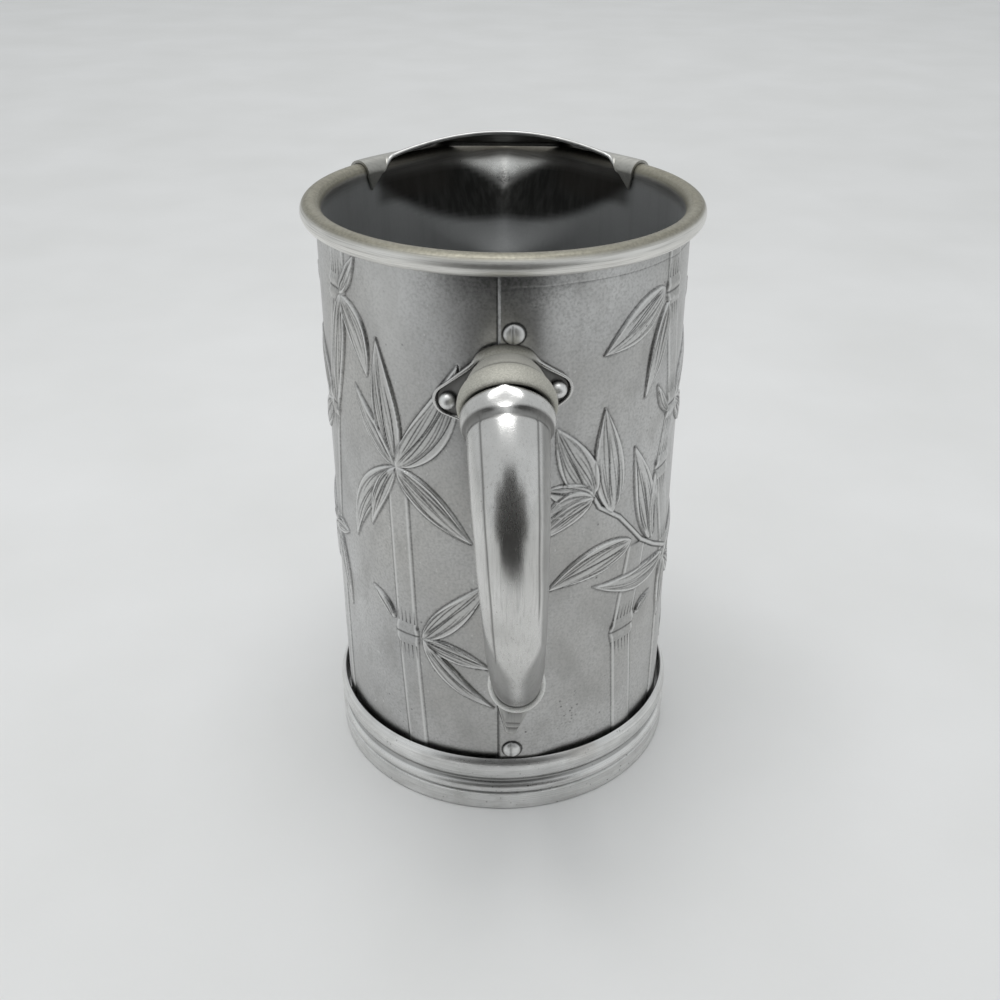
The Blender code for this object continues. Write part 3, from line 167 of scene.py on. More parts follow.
class Finish:
    """The nodes of one bare metal finish, with small helpers that add and join them."""

    def __init__(self, name):
        self.material = bpy.data.materials.new(name)
        self.material.use_nodes = True
        self.tree = self.material.node_tree
        self.shader = self.tree.nodes["Principled BSDF"]
        self.shader.inputs["Metallic"].default_value = 1.0
        self.place = self.tree.nodes.new("ShaderNodeTexCoord").outputs["Object"]

    def set(self, socket, value):
        """Join an output to a socket, or write a plain value on it."""
        if isinstance(value, bpy.types.NodeSocket):
            self.tree.links.new(value, socket)
        else:
            socket.default_value = value

    def noise(self, scale, detail=3.0, stretch=(1, 1, 1), turn=(0, 0, 0)):
        """Cloudy noise from 0 to 1, with so many lumps to a metre, stretched and turned as asked."""
        mapping = self.tree.nodes.new("ShaderNodeMapping")
        mapping.inputs["Scale"].default_value = stretch
        mapping.inputs["Rotation"].default_value = turn
        self.set(mapping.inputs["Vector"], self.place)
        node = self.tree.nodes.new("ShaderNodeTexNoise")
        node.inputs["Scale"].default_value = scale
        node.inputs["Detail"].default_value = detail
        self.set(node.inputs["Vector"], mapping.outputs["Vector"])
        return node.outputs["Fac"]

    def dots(self, scale):
        """Distance from the nearest of scattered points, in steps of their spacing."""
        node = self.tree.nodes.new("ShaderNodeTexVoronoi")
        node.inputs["Scale"].default_value = scale
        self.set(node.inputs["Vector"], self.place)
        return node.outputs["Distance"]

    def mark(self, name):
        """A number kept on the mesh's points."""
        node = self.tree.nodes.new("ShaderNodeAttribute")
        node.attribute_name = name
        return node.outputs["Fac"]

    def span(self, value, low, high, to_low=0.0, to_high=1.0):
        """Carry a value from one range to another, held at the ends."""
        node = self.tree.nodes.new("ShaderNodeMapRange")
        self.set(node.inputs["Value"], value)
        node.inputs["From Min"].default_value = low
        node.inputs["From Max"].default_value = high
        node.inputs["To Min"].default_value = to_low
        node.inputs["To Max"].default_value = to_high
        return node.outputs["Result"]

    def work(self, operation, first, second):
        """A simple operation on two values."""
        node = self.tree.nodes.new("ShaderNodeMath")
        node.operation = operation
        self.set(node.inputs[0], first)
        self.set(node.inputs[1], second)
        return node.outputs["Value"]

    def plus(self, first, second):
        """The sum of two values."""
        return self.work("ADD", first, second)

    def times(self, first, second):
        """The product of two values."""
        return self.work("MULTIPLY", first, second)

    def mix(self, share, first, second):
        """A colour between two colours."""
        node = self.tree.nodes.new("ShaderNodeMix")
        node.data_type = "RGBA"
        self.set(node.inputs["Factor"], share)
        self.set(node.inputs["A"], first if isinstance(first, bpy.types.NodeSocket) else (*first, 1))
        self.set(node.inputs["B"], second if isinstance(second, bpy.types.NodeSocket) else (*second, 1))
        return node.outputs["Result"]

    def tint(self, colour, value, reach, other):
        """A colour that goes over to another: reach is where it starts, where it ends and its most."""
        low, high, most = reach
        return self.mix(self.span(value, low, high, 0.0, most), colour, other)

    def cloudy(self, noise, first, second):
        """A colour that wanders between two colours with a cloudy noise."""
        return self.mix(self.span(noise, 0.3, 0.7), first, second)

    def pits(self, scale, size, patches, reach):
        """Scattered pits of a size, so many to a metre, that show only within cloudy patches."""
        pits = self.span(self.dots(scale), *size, 1.0, 0.0)
        return self.times(pits, self.span(self.noise(*patches), *reach))

    def relief(self, height, depth, under=None):
        """A surface disturbed by a height from 0 to 1 that stands for so many metres."""
        node = self.tree.nodes.new("ShaderNodeBump")
        node.inputs["Distance"].default_value = depth
        self.set(node.inputs["Height"], height)
        if under is not None:
            self.set(node.inputs["Normal"], under)
        return node.outputs["Normal"]

    def finish(self, colour, roughness, normal):
        """Join the finished colour, roughness and normal to the shader."""
        self.set(self.shader.inputs["Base Color"], colour)
        self.set(self.shader.inputs["Roughness"], roughness)
        self.set(self.shader.inputs["Normal"], normal)
        return self.material


def turned_satin():
    """Lathe-turned aluminium: fine rings, a grey bloom, dark grime in the groove, a painted contact shadow
    along the bottom edge and a faint stain.
    """
    metal = Finish("turned_satin_aluminium")
    rings = metal.noise(1, 4, stretch=(22, 22, 2600))
    cloud = metal.noise(38, 4)
    grain = metal.noise(1500, 2)
    stain = metal.span(metal.noise(26, 3, turn=(0.4, 0.2, 0.9)), 0.62, 0.74)
    pits = metal.pits(420, (0.06, 0.20), (60, 3), (0.46, 0.58))
    smudge = metal.noise(130, 4, stretch=(1, 1, 2.5))
    colour = metal.cloudy(cloud, (0.70, 0.70, 0.69), (0.90, 0.90, 0.89))
    colour = metal.tint(colour, rings, (0.40, 0.72, 0.5), (0.42, 0.42, 0.41))
    colour = metal.tint(colour, smudge, (0.48, 0.72, 0.4), (0.44, 0.435, 0.42))
    colour = metal.mix(metal.times(stain, 0.35), colour, (0.30, 0.24, 0.18))
    colour = metal.mix(metal.times(pits, 0.7), colour, (0.10, 0.095, 0.09))
    # The dark mark: grime in the groove, a dark throat, and a painted contact shadow along the bottom edge.
    colour = metal.mix(metal.mark("patina_and_painted_shade"), colour, (0.05, 0.05, 0.05))
    rough = metal.span(metal.plus(rings, grain), 0.6, 1.4, 0.24, 0.40)
    normal = metal.relief(rings, 0.00003)
    normal = metal.relief(grain, 0.00001, normal)
    return metal.finish(colour, rough, normal)


groove_radius = FOOT_THROAT + FOOT_WALL
band_radius = groove_radius + FOOT_BAND_STEP
bead_bottom = FOOT_HEIGHT - UPPER_BEAD_HEIGHT
lower_top = bead_bottom - GROOVE_HEIGHT
lower_bottom = lower_top - LOWER_BEAD_HEIGHT
share = np.linspace(0, 1, BEAD_ROWS)
upper_bead = np.stack(
    (groove_radius + UPPER_BEAD_BULGE * np.sin(math.pi * share) ** 0.8 - FOOT_WALL * (1 - share) ** 6 / 2,
     FOOT_HEIGHT - UPPER_BEAD_HEIGHT * share), axis=-1)
groove = np.stack(
    (groove_radius - GROOVE_DEPTH * np.sin(math.pi * share), bead_bottom - GROOVE_HEIGHT * share), axis=-1)
lower_bead = np.stack(
    (groove_radius + LOWER_BEAD_BULGE * np.sin(math.pi * share) ** 0.8,
     lower_top - LOWER_BEAD_HEIGHT * share), axis=-1)
rest = np.array((
    (band_radius, lower_bottom - EDGE_ROUND),
    (band_radius, EDGE_ROUND),
    (band_radius - EDGE_ROUND, 0),
    (band_radius - FOOT_FLANGE, 0),
    (band_radius - FOOT_FLANGE, FOOT_WALL),
    (band_radius - FOOT_WALL, FOOT_WALL),
    (band_radius - FOOT_WALL, lower_bottom - EDGE_ROUND),
    (FOOT_THROAT, lower_bottom),
    (FOOT_THROAT, FOOT_SHELF_TOP - FOOT_WALL),
    (FOOT_THROAT - FOOT_SHELF, FOOT_SHELF_TOP - FOOT_WALL),
    (FOOT_THROAT - FOOT_SHELF, FOOT_SHELF_TOP),
    (FOOT_THROAT, FOOT_SHELF_TOP),
    (FOOT_THROAT, FOOT_HEIGHT - EDGE_ROUND),
))
foot_profile = np.concatenate((upper_bead, groove[1:-1], lower_bead, rest))
foot_grime_and_shade = np.zeros(len(foot_profile))
band_row = len(foot_profile) - len(rest)
foot_grime_and_shade[BEAD_ROWS - 2:2 * BEAD_ROWS - 1] = GROOVE_DIRT
foot_grime_and_shade[band_row - 1] = BAND_DIRT
# Painted contact shadow: the bottom edge is darkened where it meets the floor.
foot_grime_and_shade[band_row + 2] = FLANGE_CONTACT_SHADE
foot_grime_and_shade[-1] = THROAT_DIRT
foot_marks = {"patina_and_painted_shade": np.repeat(foot_grime_and_shade[:, None], FOOT_COLUMNS, axis=1)}
foot = skin("foot_ring_turned", turned(foot_profile, FOOT_COLUMNS), True, foot_marks)
put_on(foot, "foot_ring", turned_satin())


# Vessel
# The seamless inner cup, spun from one aluminium disc.  Its edge is rolled outwards into a bead, and
# its front is drawn out into a V spout whose two flat sides meet in a crease.
VESSEL_RADIUS = 60.6 * MM
VESSEL_WALL = 1.0 * MM
VESSEL_CORNER = 5.0 * MM
VESSEL_FLOOR = FOOT_SHELF_TOP + 0.3 * MM + VESSEL_WALL
RIM_TOP = 213.9 * MM
RIM_ROLL = 3.5 * MM
RIM_CENTRE = RIM_TOP - RIM_ROLL
RIM_END = math.radians(-105)
SPOUT_REACH = 27.0 * MM
SPOUT_FOOT = RIM_TOP - 42.0 * MM
SPOUT_SOFTNESS = math.radians(3)
SPOUT_DIP = 3.5 * MM
SPOUT_ROLL_SHARE = 0.6
# Painted light on the spout's trough: a lit patch, lighter and smoother, where light falls in past the
# guard; its foot, its half angle and its soft edge.
SPOUT_LIT_FOOT = 194.0 * MM
SPOUT_LIT_ANGLE = math.radians(24)
SPOUT_LIT_EDGE = 6.0 * MM
# A dark arc painted on the inside below the guard: painted shade for the guard's shadow and its dark
# underside mirrored in the back wall.
PAINTED_ARC_DEPTH = 30.0 * MM
PAINTED_ARC_ANGLE = math.radians(57)
PAINTED_ARC_EDGE = 7.0 * MM
PAINTED_ARC_MIDDLE = 0.45
# Painted shade on the rim: the guard's shadow on the bead within this angle of the spout, its soft edge, and
# how dark the painted shade goes.
GUARD_SHADOW_ANGLE = math.radians(46)
GUARD_SHADOW_EDGE = math.radians(6)
RIM_SHADE_SHARE = 0.7
VESSEL_COLUMNS = 360
FLOOR_ROWS, CORNER_ROWS, WALL_ROWS, SPOUT_ROWS, ROLL_ROWS = 10, 8, 12, 24, 26


def smoothstep(x):
    """Ease from 0 to 1 while x goes from 0 to 1."""
    x = np.clip(x, 0.0, 1.0)
    return x * x * (3.0 - 2.0 * x)


def line(distance, width):
    """A soft line: 1 on it, falling off as a bell over its width."""
    return np.exp(-((distance / width) ** 2))


def from_spout(angle):
    """How far an angle lies from the spout's middle, to either side."""
    return np.abs(angle % (2 * math.pi) - math.pi)


def spout_half_angle(height):
    """Half the angle taken up by the spout's flat sides: they touch the round wall there."""
    grown = np.clip((height - SPOUT_FOOT) / (RIM_CENTRE - SPOUT_FOOT), 0.0, 1.0)
    return np.arccos(VESSEL_RADIUS / (VESSEL_RADIUS + SPOUT_REACH * grown))


def wall_plan(angle, height):
    """The inner wall in plan: radius R / cos(half angle of the spout - distance from its middle)."""
    soft = np.sqrt(from_spout(angle) ** 2 + SPOUT_SOFTNESS**2)
    radius = VESSEL_RADIUS / np.cos(np.maximum(0.0, spout_half_angle(height) - soft))
    return np.stack((radius * np.sin(angle), -radius * np.cos(angle)), axis=-1)


def plan_normal(angle):
    """The outward direction of the rim in plan, from the wall's own slope."""
    step = 1e-4
    along = wall_plan(angle + step, RIM_CENTRE) - wall_plan(angle - step, RIM_CENTRE)
    along /= np.linalg.norm(along, axis=-1, keepdims=True)
    return np.stack((along[..., 1], -along[..., 0]), axis=-1)


def rim_roll(angle):
    """The bead's radius, slimmer along the spout."""
    grown = smoothstep(from_spout(angle) / spout_half_angle(RIM_CENTRE))
    return RIM_ROLL * (SPOUT_ROLL_SHARE + (1 - SPOUT_ROLL_SHARE) * grown)


def rim_dip(angle):
    """How far the rim sinks towards the spout's tip."""
    return SPOUT_DIP * (1 - smoothstep(2 * from_spout(angle) / spout_half_angle(RIM_CENTRE)))


def lift(plan, height):
    """Points in plan, counted from the axis, at a height."""
    height = np.broadcast_to(height, plan.shape[:-1])
    return np.stack((plan[..., 0], plan[..., 1] + AXIS_Y, height), axis=-1)


def grid_normals(grid):
    """The direction square to a grid whose rows are rings, from the slopes along and across it."""
    across = np.roll(grid, -1, axis=1) - np.roll(grid, 1, axis=1)
    along = np.gradient(grid, axis=0)
    normal = np.cross(across, along)
    return normal / np.maximum(np.linalg.norm(normal, axis=-1, keepdims=True), 1e-12)


def spun_aluminium():
    """Spun aluminium: a dull grey cup, upright rubbing marks inside, a brushed bead with a warm top; painted
    shade on the bead under the guard and under the bead, a painted dark arc inside, and a painted lit patch
    in the spout.
    """
    metal = Finish("spun_aluminium")
    rubbed = metal.noise(1, 3, stretch=(420, 420, 16))
    brushed = metal.noise(1, 4, stretch=(40, 40, 2400))
    cloud = metal.noise(24, 4)
    grain = metal.noise(1300, 2)
    rim = metal.mark("rim")
    warm = metal.mark("warm")
    inside = metal.cloudy(cloud, (0.47, 0.478, 0.48), (0.58, 0.588, 0.59))
    inside = metal.tint(inside, rubbed, (0.50, 0.75, 0.2), (0.34, 0.345, 0.345))
    # Painted shade and reflection: the colour of the dark arc inside, under the guard.
    painted_shade = metal.mix(metal.span(rubbed, 0.40, 0.80), (0.042, 0.042, 0.04), (0.085, 0.085, 0.082))
    inside = metal.mix(metal.mark("painted_shade"), inside, painted_shade)
    # Painted light: the lit patch in the spout's trough.
    inside = metal.mix(metal.mark("painted_lit_lens"), inside, (0.74, 0.74, 0.72))
    bead = metal.cloudy(cloud, (0.76, 0.75, 0.72), (0.92, 0.91, 0.875))
    bead = metal.tint(bead, brushed, (0.48, 0.72, 0.6), (0.36, 0.352, 0.33))
    mottled = metal.span(metal.noise(900, 4), 0.35, 0.65)
    stained = metal.mix(mottled, (0.205, 0.192, 0.148), (0.28, 0.265, 0.205))
    bead = metal.mix(metal.times(warm, 0.9), bead, stained)
    colour = metal.mix(rim, inside, bead)
    # Painted shade: the guard's shadow on the bead and the shade under the bead.
    colour = metal.mix(metal.mark("patina_and_painted_shade"), colour, (0.06, 0.055, 0.05))
    rough = metal.span(metal.plus(metal.times(brushed, rim), grain), 0.4, 1.3, 0.26, 0.46)
    rough = metal.plus(rough, metal.times(warm, 0.14))
    dull = metal.span(metal.plus(rim, metal.mark("painted_lit_lens")), 0.0, 0.5, 0.26, 0.0)
    rough = metal.plus(rough, dull)
    normal = metal.relief(metal.times(brushed, rim), 0.00006)
    normal = metal.relief(metal.plus(grain, rubbed), 0.000008, normal)
    return metal.finish(colour, rough, normal)


angle = np.linspace(0, 2 * math.pi, VESSEL_COLUMNS, endpoint=False)
roll = rim_roll(angle)
dip = rim_dip(angle)
rows = []
for reach in np.linspace(0.05, 0.95, FLOOR_ROWS):
    rows.append(around(angle, (VESSEL_RADIUS - VESSEL_CORNER) * reach, VESSEL_FLOOR))
for turn in np.linspace(-math.pi / 2, 0, CORNER_ROWS):
    corner_radius = VESSEL_RADIUS - VESSEL_CORNER * (1 - math.cos(turn))
    rows.append(around(angle, corner_radius, VESSEL_FLOOR + VESSEL_CORNER * (1 + math.sin(turn))))
for height in np.linspace(VESSEL_FLOOR + VESSEL_CORNER, SPOUT_FOOT, WALL_ROWS)[1:-1]:
    rows.append(around(angle, VESSEL_RADIUS, height))
for grown in np.linspace(0, 1, SPOUT_ROWS):
    height = SPOUT_FOOT + (RIM_CENTRE - SPOUT_FOOT) * grown
    rows.append(lift(wall_plan(angle, height), height - dip * grown))
wall_rows = len(rows)
rim_plan = wall_plan(angle, RIM_CENTRE)
rim_out = plan_normal(angle)
for turn in np.linspace(math.pi, RIM_END, ROLL_ROWS)[1:]:
    plan = rim_plan + rim_out * (roll * (1 + math.cos(turn)))[:, None]
    rows.append(lift(plan, RIM_TOP - dip - roll + roll * math.sin(turn)))
inner_face = np.stack(rows)
square = grid_normals(inner_face)
inwards = np.sign(square[wall_rows // 2, 0, 1])
outer_face = inner_face - inwards * VESSEL_WALL * square
vessel_grid = np.concatenate((inner_face, outer_face[::-1]))
inner_row = np.arange(len(inner_face))
roll_share = (inner_row - wall_rows) / ROLL_ROWS
on_rim = smoothstep((inner_row - wall_rows + 4) / 5)
# The last rows curl under the bead; they get painted shade.
under_bead = smoothstep((inner_row - len(inner_face) + 6) / 5)
top_band = smoothstep((roll_share + 0.06) / 0.08) * (1 - smoothstep((roll_share - 0.40) / 0.10))


def both_faces(inner, outer_share=1):
    """A mark of the inner face and, times a share, the same rows of the outer face."""
    inner = inner.reshape(len(inner_face), -1) + np.zeros(VESSEL_COLUMNS)
    return np.concatenate((inner, inner[::-1] * outer_share))


spout_off = from_spout(angle)
# Painted shadow of the guard: the bead and the top of the spout's sides under it go dark, clear of the lit
# patch in the middle; with painted shade under the bead.
guard_shadow = 1 - smoothstep((spout_off - GUARD_SHADOW_ANGLE) / GUARD_SHADOW_EDGE)
beside_lit = smoothstep((spout_off - SPOUT_LIT_ANGLE / 2) / (SPOUT_LIT_ANGLE / 2))
guard_shadow = guard_shadow * np.maximum(smoothstep((roll_share + 0.12) / 0.08)[:, None],
                                   smoothstep((roll_share + 0.36) / 0.1)[:, None] * beside_lit)
painted_rim_shade = np.maximum(under_bead[:, None], guard_shadow)
# Painted light: a lit patch down the middle of the spout's trough.
lit = spout_off / SPOUT_LIT_ANGLE * (RIM_TOP - SPOUT_LIT_FOOT)
painted_lit_face = smoothstep((inner_face[..., 2] - SPOUT_LIT_FOOT - lit) / SPOUT_LIT_EDGE)
# Painted shade: the dark arc on the inside below the guard.
painted_arc_reach = PAINTED_ARC_DEPTH * (1 - (spout_off / PAINTED_ARC_ANGLE) ** 2)
painted_arc_face = smoothstep((painted_arc_reach - RIM_TOP + inner_face[..., 2]) / PAINTED_ARC_EDGE + 0.5)
painted_arc_face = np.maximum(painted_arc_face, PAINTED_ARC_MIDDLE * line(spout_off, PAINTED_ARC_ANGLE / 2))
vessel = skin("vessel_spun", vessel_grid, marks={
    "rim": both_faces(on_rim), "warm": both_faces(top_band),
    "patina_and_painted_shade": both_faces(painted_rim_shade * RIM_SHADE_SHARE, 0),
    "painted_lit_lens": both_faces(painted_lit_face, 0), "painted_shade": both_faces(painted_arc_face, 0)})
put_on(vessel, "vessel", spun_aluminium())


# Jacket
# A thin aluminium sheet, pressed with bamboo stalks and leaves, wrapped round the vessel and lapped
# beside the handle.  Its grooves hold a dark patina, and its ground is rubbed to a grey satin.
JACKET_RADIUS = 62.7 * MM
JACKET_WALL = 0.8 * MM
JACKET_BOTTOM = FOOT_SHELF_TOP + 0.3 * MM
JACKET_TOP = RIM_TOP - 2 * RIM_ROLL - 0.3 * MM
LAP_EDGE = math.radians(-1.6)
LAP_WIDTH = 10.0 * MM
LAP_STEP = 1.1 * MM
LAP_OUTER = JACKET_RADIUS + LAP_STEP
JOGGLE_WIDTH = 14.0 * MM
NOTCH_MARGIN = 2.0 * MM
STEEPEST = math.radians(80)
# Rows and columns of a strip on the near side, up to the front reach, and of one on the far side.
FRONT_REACH = math.radians(90)
FRONT_GRID = (641, 125)
FAR_GRID = (481, 129)
BACK_STRIDE = 4
LAP_BEVEL = 0.8 * MM
SEAM_INSET = 4.8 * MM
SEAM_HEIGHTS = (189.0 * MM, 27.6 * MM)
SEAM_HEAD = (3.3 * MM, 1.5 * MM)
LEDGE_HEIGHT = 203.2 * MM
LEDGE_DEPTH = 0.1 * MM
CREVICE_DARK, LEDGE_DIRT, BEVEL_DARK, SHADE_DARK = 0.85, 0.45, 0.5, 0.68
# Painted shade under the rim at the front, standing for the rim's shadow and a dark reflection: its depth
# and its half width round the body.
SHADE_DEPTH = 9.0 * MM
SHADE_HALF = math.radians(19)
# Pitted patch: degrees round the body, height, radius.  Painted highlight streak: angle, half width, depth.
PITTED = (21.5, 43.0 * MM, 9.0 * MM)
PAINTED_STREAK = (math.radians(-35), math.radians(11), 45.0 * MM)
LEAF_RAISE = 0.6 * MM
LEAF_CROWN = 0.42 * MM
LEAF_EDGE = 0.5 * MM
LEAF_SPREAD = 0.5 * MM
BORDER_RAISE = 0.09 * MM
VEIN_DEPTH = 0.18 * MM
# Veins on the near side and on the far side, which lies between these degrees: width, and count to a
# millimetre of the leaf's half width.
VEIN_WIDTHS = (0.21 * MM, 0.34 * MM)
VEIN_COUNTS = (1.5, 0.5)
FAR_SIDE = (75, 285)
LINE_WIDTH = 0.32 * MM
OUTLINE_DEPTH = 0.16 * MM
HALO_WIDTH = 1.1 * MM
STALK_RAISE = 0.55 * MM
NODE_SPACING = 2.3 * MM
NODE_BULGE = 0.45 * MM
HATCH_SPACING = 1.7 * MM
HATCH_LENGTH = 7.0 * MM
relief_rng = np.random.default_rng(7)

# Stalks: half width in millimetres, then (degrees round the body, height in millimetres) downwards,
# and the heights of their nodes.
STALKS = (
    (4.6, ((-56, 210), (-57, 193), (-66, 150), (-73, 98), (-72, 10)), (193, 150, 98)),
    (4.3, ((-34, 137), (-32.6, 72), (-29.5, 10)), (72,)),
    (5.3, ((48, 103), (42.3, 69.5), (46, 10)), (69.5,)),
    (4.4, ((59.5, 210), (60, 192), (66, 150), (60, 128), (69, 90), (68, 10)), (192, 150, 128, 90)),
    (5.0, ((103, 210), (100, 172), (105, 118), (101, 62), (103, 10)), (172, 118, 62)),
    (4.4, ((141, 128), (138, 70), (141, 10)), (70,)),
    (4.8, ((181, 112), (178, 60), (180, 10)), (60,)),
    (4.4, ((221, 132), (224, 75), (220, 10)), (75,)),
    (5.0, ((257, 210), (260, 178), (255, 120), (259, 66), (257, 10)), (178, 120, 66)),
)

# Twigs: half width in millimetres and a run of points, as above.
TWIGS = (
    (0.9, ((69, 90), (58, 97), (49.7, 103.5), (38.5, 117.4), (30.4, 124), (25.8, 133))),
    (0.8, ((105, 118), (118, 126), (128, 139))),
    (0.8, ((255, 120), (243, 128), (234, 142))),
)

# Sprays: (degrees, height in millimetres) of the foot, then a leaf each: its tip across and up from
# the foot, its half width and its bend to the left, all in millimetres.
STAR = ((-6, 44, 4.9, 1), (-18, 25, 2.9, 1.3), (23, 40, 6.0, -3.8), (-23, -36, 4.2, -4.1),
        (-13, -27, 2.6, -1.5), (27, -24, 4.5, 0))
TRIO = ((25, 28, 4.3, -0.5), (26, -9, 2.9, 0.4), (27, -26, 2.9, -2.5))
HANGING = ((12, -25, 4.3, 2.5), (-8, -44, 3.5, -1), (9, 15, 2.0, 0))
FAN = ((-14, 28, 5.8, 0), (-18, 6, 4.0, 0), (-18, -4, 4.0, -1.5), (-21, -13, 3.5, -1))
SPRAYS = [
    ((-55, 191.5), HANGING),
    ((-73, 98), ((13, 2, 2.5, 0), (11, -31, 3.0, 1), (-20, 12, 3.4, 1), (-16, -28, 3.8, -1))),
    ((-66, 150), ((-17, 22, 3.6, 1), (-20, -20, 4.0, -1))),
    ((-34, 138), STAR),
    ((-27, 71.5), TRIO),
    ((-37.5, 76), ((-11, 10.5, 1.6, -1),)),
    ((54, 194.5), ((-27, -16.5, 5.3, 0.8),)),
    ((57, 189), ((-11, -31, 3.8, 0.5),)),
    ((62, 148), ((-9, 13, 1.6, 0.6),)),
    ((68, 150), ((20, 20, 4.2, -1), (22, -18, 4.4, 1))),
    ((68, 86), ((-2, -26, 3.5, 0.5), (20, 14, 3.8, -1), (24, -22, 4.2, 1.5))),
    ((35.5, 120.6), ((-5, 40, 5.7, 0),)),
    ((55, 101), ((-12.3, 41.5, 5.0, -1),)),
    ((57, 100), ((-1, 28, 2.5, 0.6),)),
    ((44.8, 105.5), ((-35, -10.3, 5.2, -2),)),
    ((66.7, 88.4), ((-41.5, 4.1, 3.8, 2.5),)),
    ((49, 72), ((10.2, 5.5, 1.5, 0.5),)),
    ((28, 128.5), FAN),
    ((103, 172), ((25, 14, 4.6, -1), (22, -24, 4.4, 1.5), (-20, -26, 4.0, -1), (-21, 16, 3.8, 1))),
    ((128, 139), ((-3, 38, 5.2, 0), (20, 26, 5.0, -1), (24, -6, 4.2, 1), (-19, 22, 4.0, 1))),
    ((102, 62), ((26, 24, 4.4, -1), (27, -14, 3.4, 1), (-22, 20, 3.8, 1), (-20, -26, 3.6, -1))),
    ((141, 128), ((-24, -22, 4.4, 1), (20, -30, 4.2, 1.5))),
    ((138, 70), ((25, 20, 4.0, -1), (24, -24, 3.4, 1), (-20, -22, 3.2, -1))),
    ((180, 112), ((-6, 46, 5.0, 0.5), (20, 38, 5.2, -2), (-24, 26, 4.6, 2), (25, -20, 4.2, 1),
                  (-25, -18, 4.0, -1))),
    ((178, 60), ((24, 22, 4.0, -1), (-22, 20, 3.8, 1), (25, -22, 3.2, 1.5), (-24, -20, 3.4, -1))),
    ((222, 132), ((6, 40, 5.0, 0), (-20, 26, 4.2, 1), (23, 14, 4.4, -1), (-22, -26, 4.2, -1.5),
                  (20, -30, 4.0, 1))),
    ((224, 75), ((-24, 24, 4.2, 1), (-25, -16, 3.4, -1), (22, -24, 3.4, 1))),
    ((258, 178), ((-24, 14, 4.6, 1), (-22, -26, 4.4, -1.5), (20, -24, 4.0, 1), (20, 15, 3.6, -1))),
    ((234, 142), ((2, 36, 4.8, 0), (-19, 22, 4.4, 1), (18, 24, 4.0, -1))),
    ((257, 66), ((-25, 24, 4.4, 1), (-26, -16, 3.4, -1), (22, 22, 3.8, -1), (20, -26, 3.6, 1))),
]


def away(angle, degrees):
    """Distance round the body from a place given in degrees, in metres, the short way."""
    return ((angle - math.radians(degrees) + math.pi) % (2 * math.pi) - math.pi) * JACKET_RADIUS


def add_stalk(field, angle, height, half_mm, run, nodes):
    """A stalk: height raise * sqrt(1 - (across / half width)^2), with double rings at its nodes."""
    degrees = np.array([p[0] for p in run])[::-1]
    heights = np.array([p[1] for p in run])[::-1] * MM
    across = angle - np.radians(np.interp(height, heights, degrees))
    across = ((across + math.pi) % (2 * math.pi) - math.pi) * JACKET_RADIUS
    near = np.zeros_like(height)
    for node in nodes:
        near = np.maximum(near, line(height - node * MM, 4 * MM))
    half = half_mm * MM * (1 + 0.16 * near)
    inside = (np.abs(across) < half) & (height < heights[-1])
    bulge = STALK_RAISE * np.sqrt(np.clip(1 - (across / half) ** 2, 0, 1)) ** 0.7
    dark = np.zeros_like(height)
    for node in nodes:
        off = height - node * MM
        bulge += NODE_BULGE * (line(off - NODE_SPACING, 1.5 * MM) + line(off + NODE_SPACING, 1.5 * MM))
        dark = np.maximum(dark, 0.8 * line(off, 0.5 * MM))
        tick = np.abs((across / HATCH_SPACING + 0.5) % 1 - 0.5) * HATCH_SPACING
        beyond = np.abs(off) - 2 * NODE_SPACING
        fade = np.where(beyond > 0, np.clip(1 - beyond / HATCH_LENGTH, 0, 1), 0) ** 0.7
        dark = np.maximum(dark, line(tick, 0.3 * MM) * fade)
        bulge -= 0.2 * MM * line(tick, 0.35 * MM) * fade
    rim = np.where(height < heights[-1], line(np.abs(across) - half, LINE_WIDTH), 0)
    field["height"] = np.where(inside, bulge, field["height"]) - OUTLINE_DEPTH * rim
    field["patina_and_painted_shade"] = np.maximum(np.where(inside, 0.85 * dark, field["patina_and_painted_shade"]), 0.5 * rim)
    field["rub_and_sheen"] = np.maximum(field["rub_and_sheen"], np.where(inside, line(half - np.abs(across) - MM, 0.5 * MM), 0))


def add_twig(field, angle, height, half_mm, run):
    """A twig: a round ridge along a run of straight pieces."""
    nearest = np.full(height.shape, 1.0)
    for (a_deg, a_mm), (b_deg, b_mm) in zip(run, run[1:]):
        x, y = away(angle, a_deg), height - a_mm * MM
        dx, dy = math.radians(b_deg - a_deg) * JACKET_RADIUS, (b_mm - a_mm) * MM
        t = np.clip((x * dx + y * dy) / (dx * dx + dy * dy), 0, 1)
        nearest = np.minimum(nearest, np.hypot(x - t * dx, y - t * dy))
    half = half_mm * MM
    ridge = np.sqrt(np.clip(1 - (nearest / half) ** 2, 0, 1))
    edge = line(nearest - half, LINE_WIDTH)
    field["height"] = np.maximum(field["height"], LEAF_RAISE * 1.5 * ridge) - OUTLINE_DEPTH * edge
    field["patina_and_painted_shade"] = np.maximum(np.where(nearest < half, 0, field["patina_and_painted_shade"]), 0.75 * edge)
    field["rub_and_sheen"] = np.where(nearest < half, ridge, field["rub_and_sheen"])


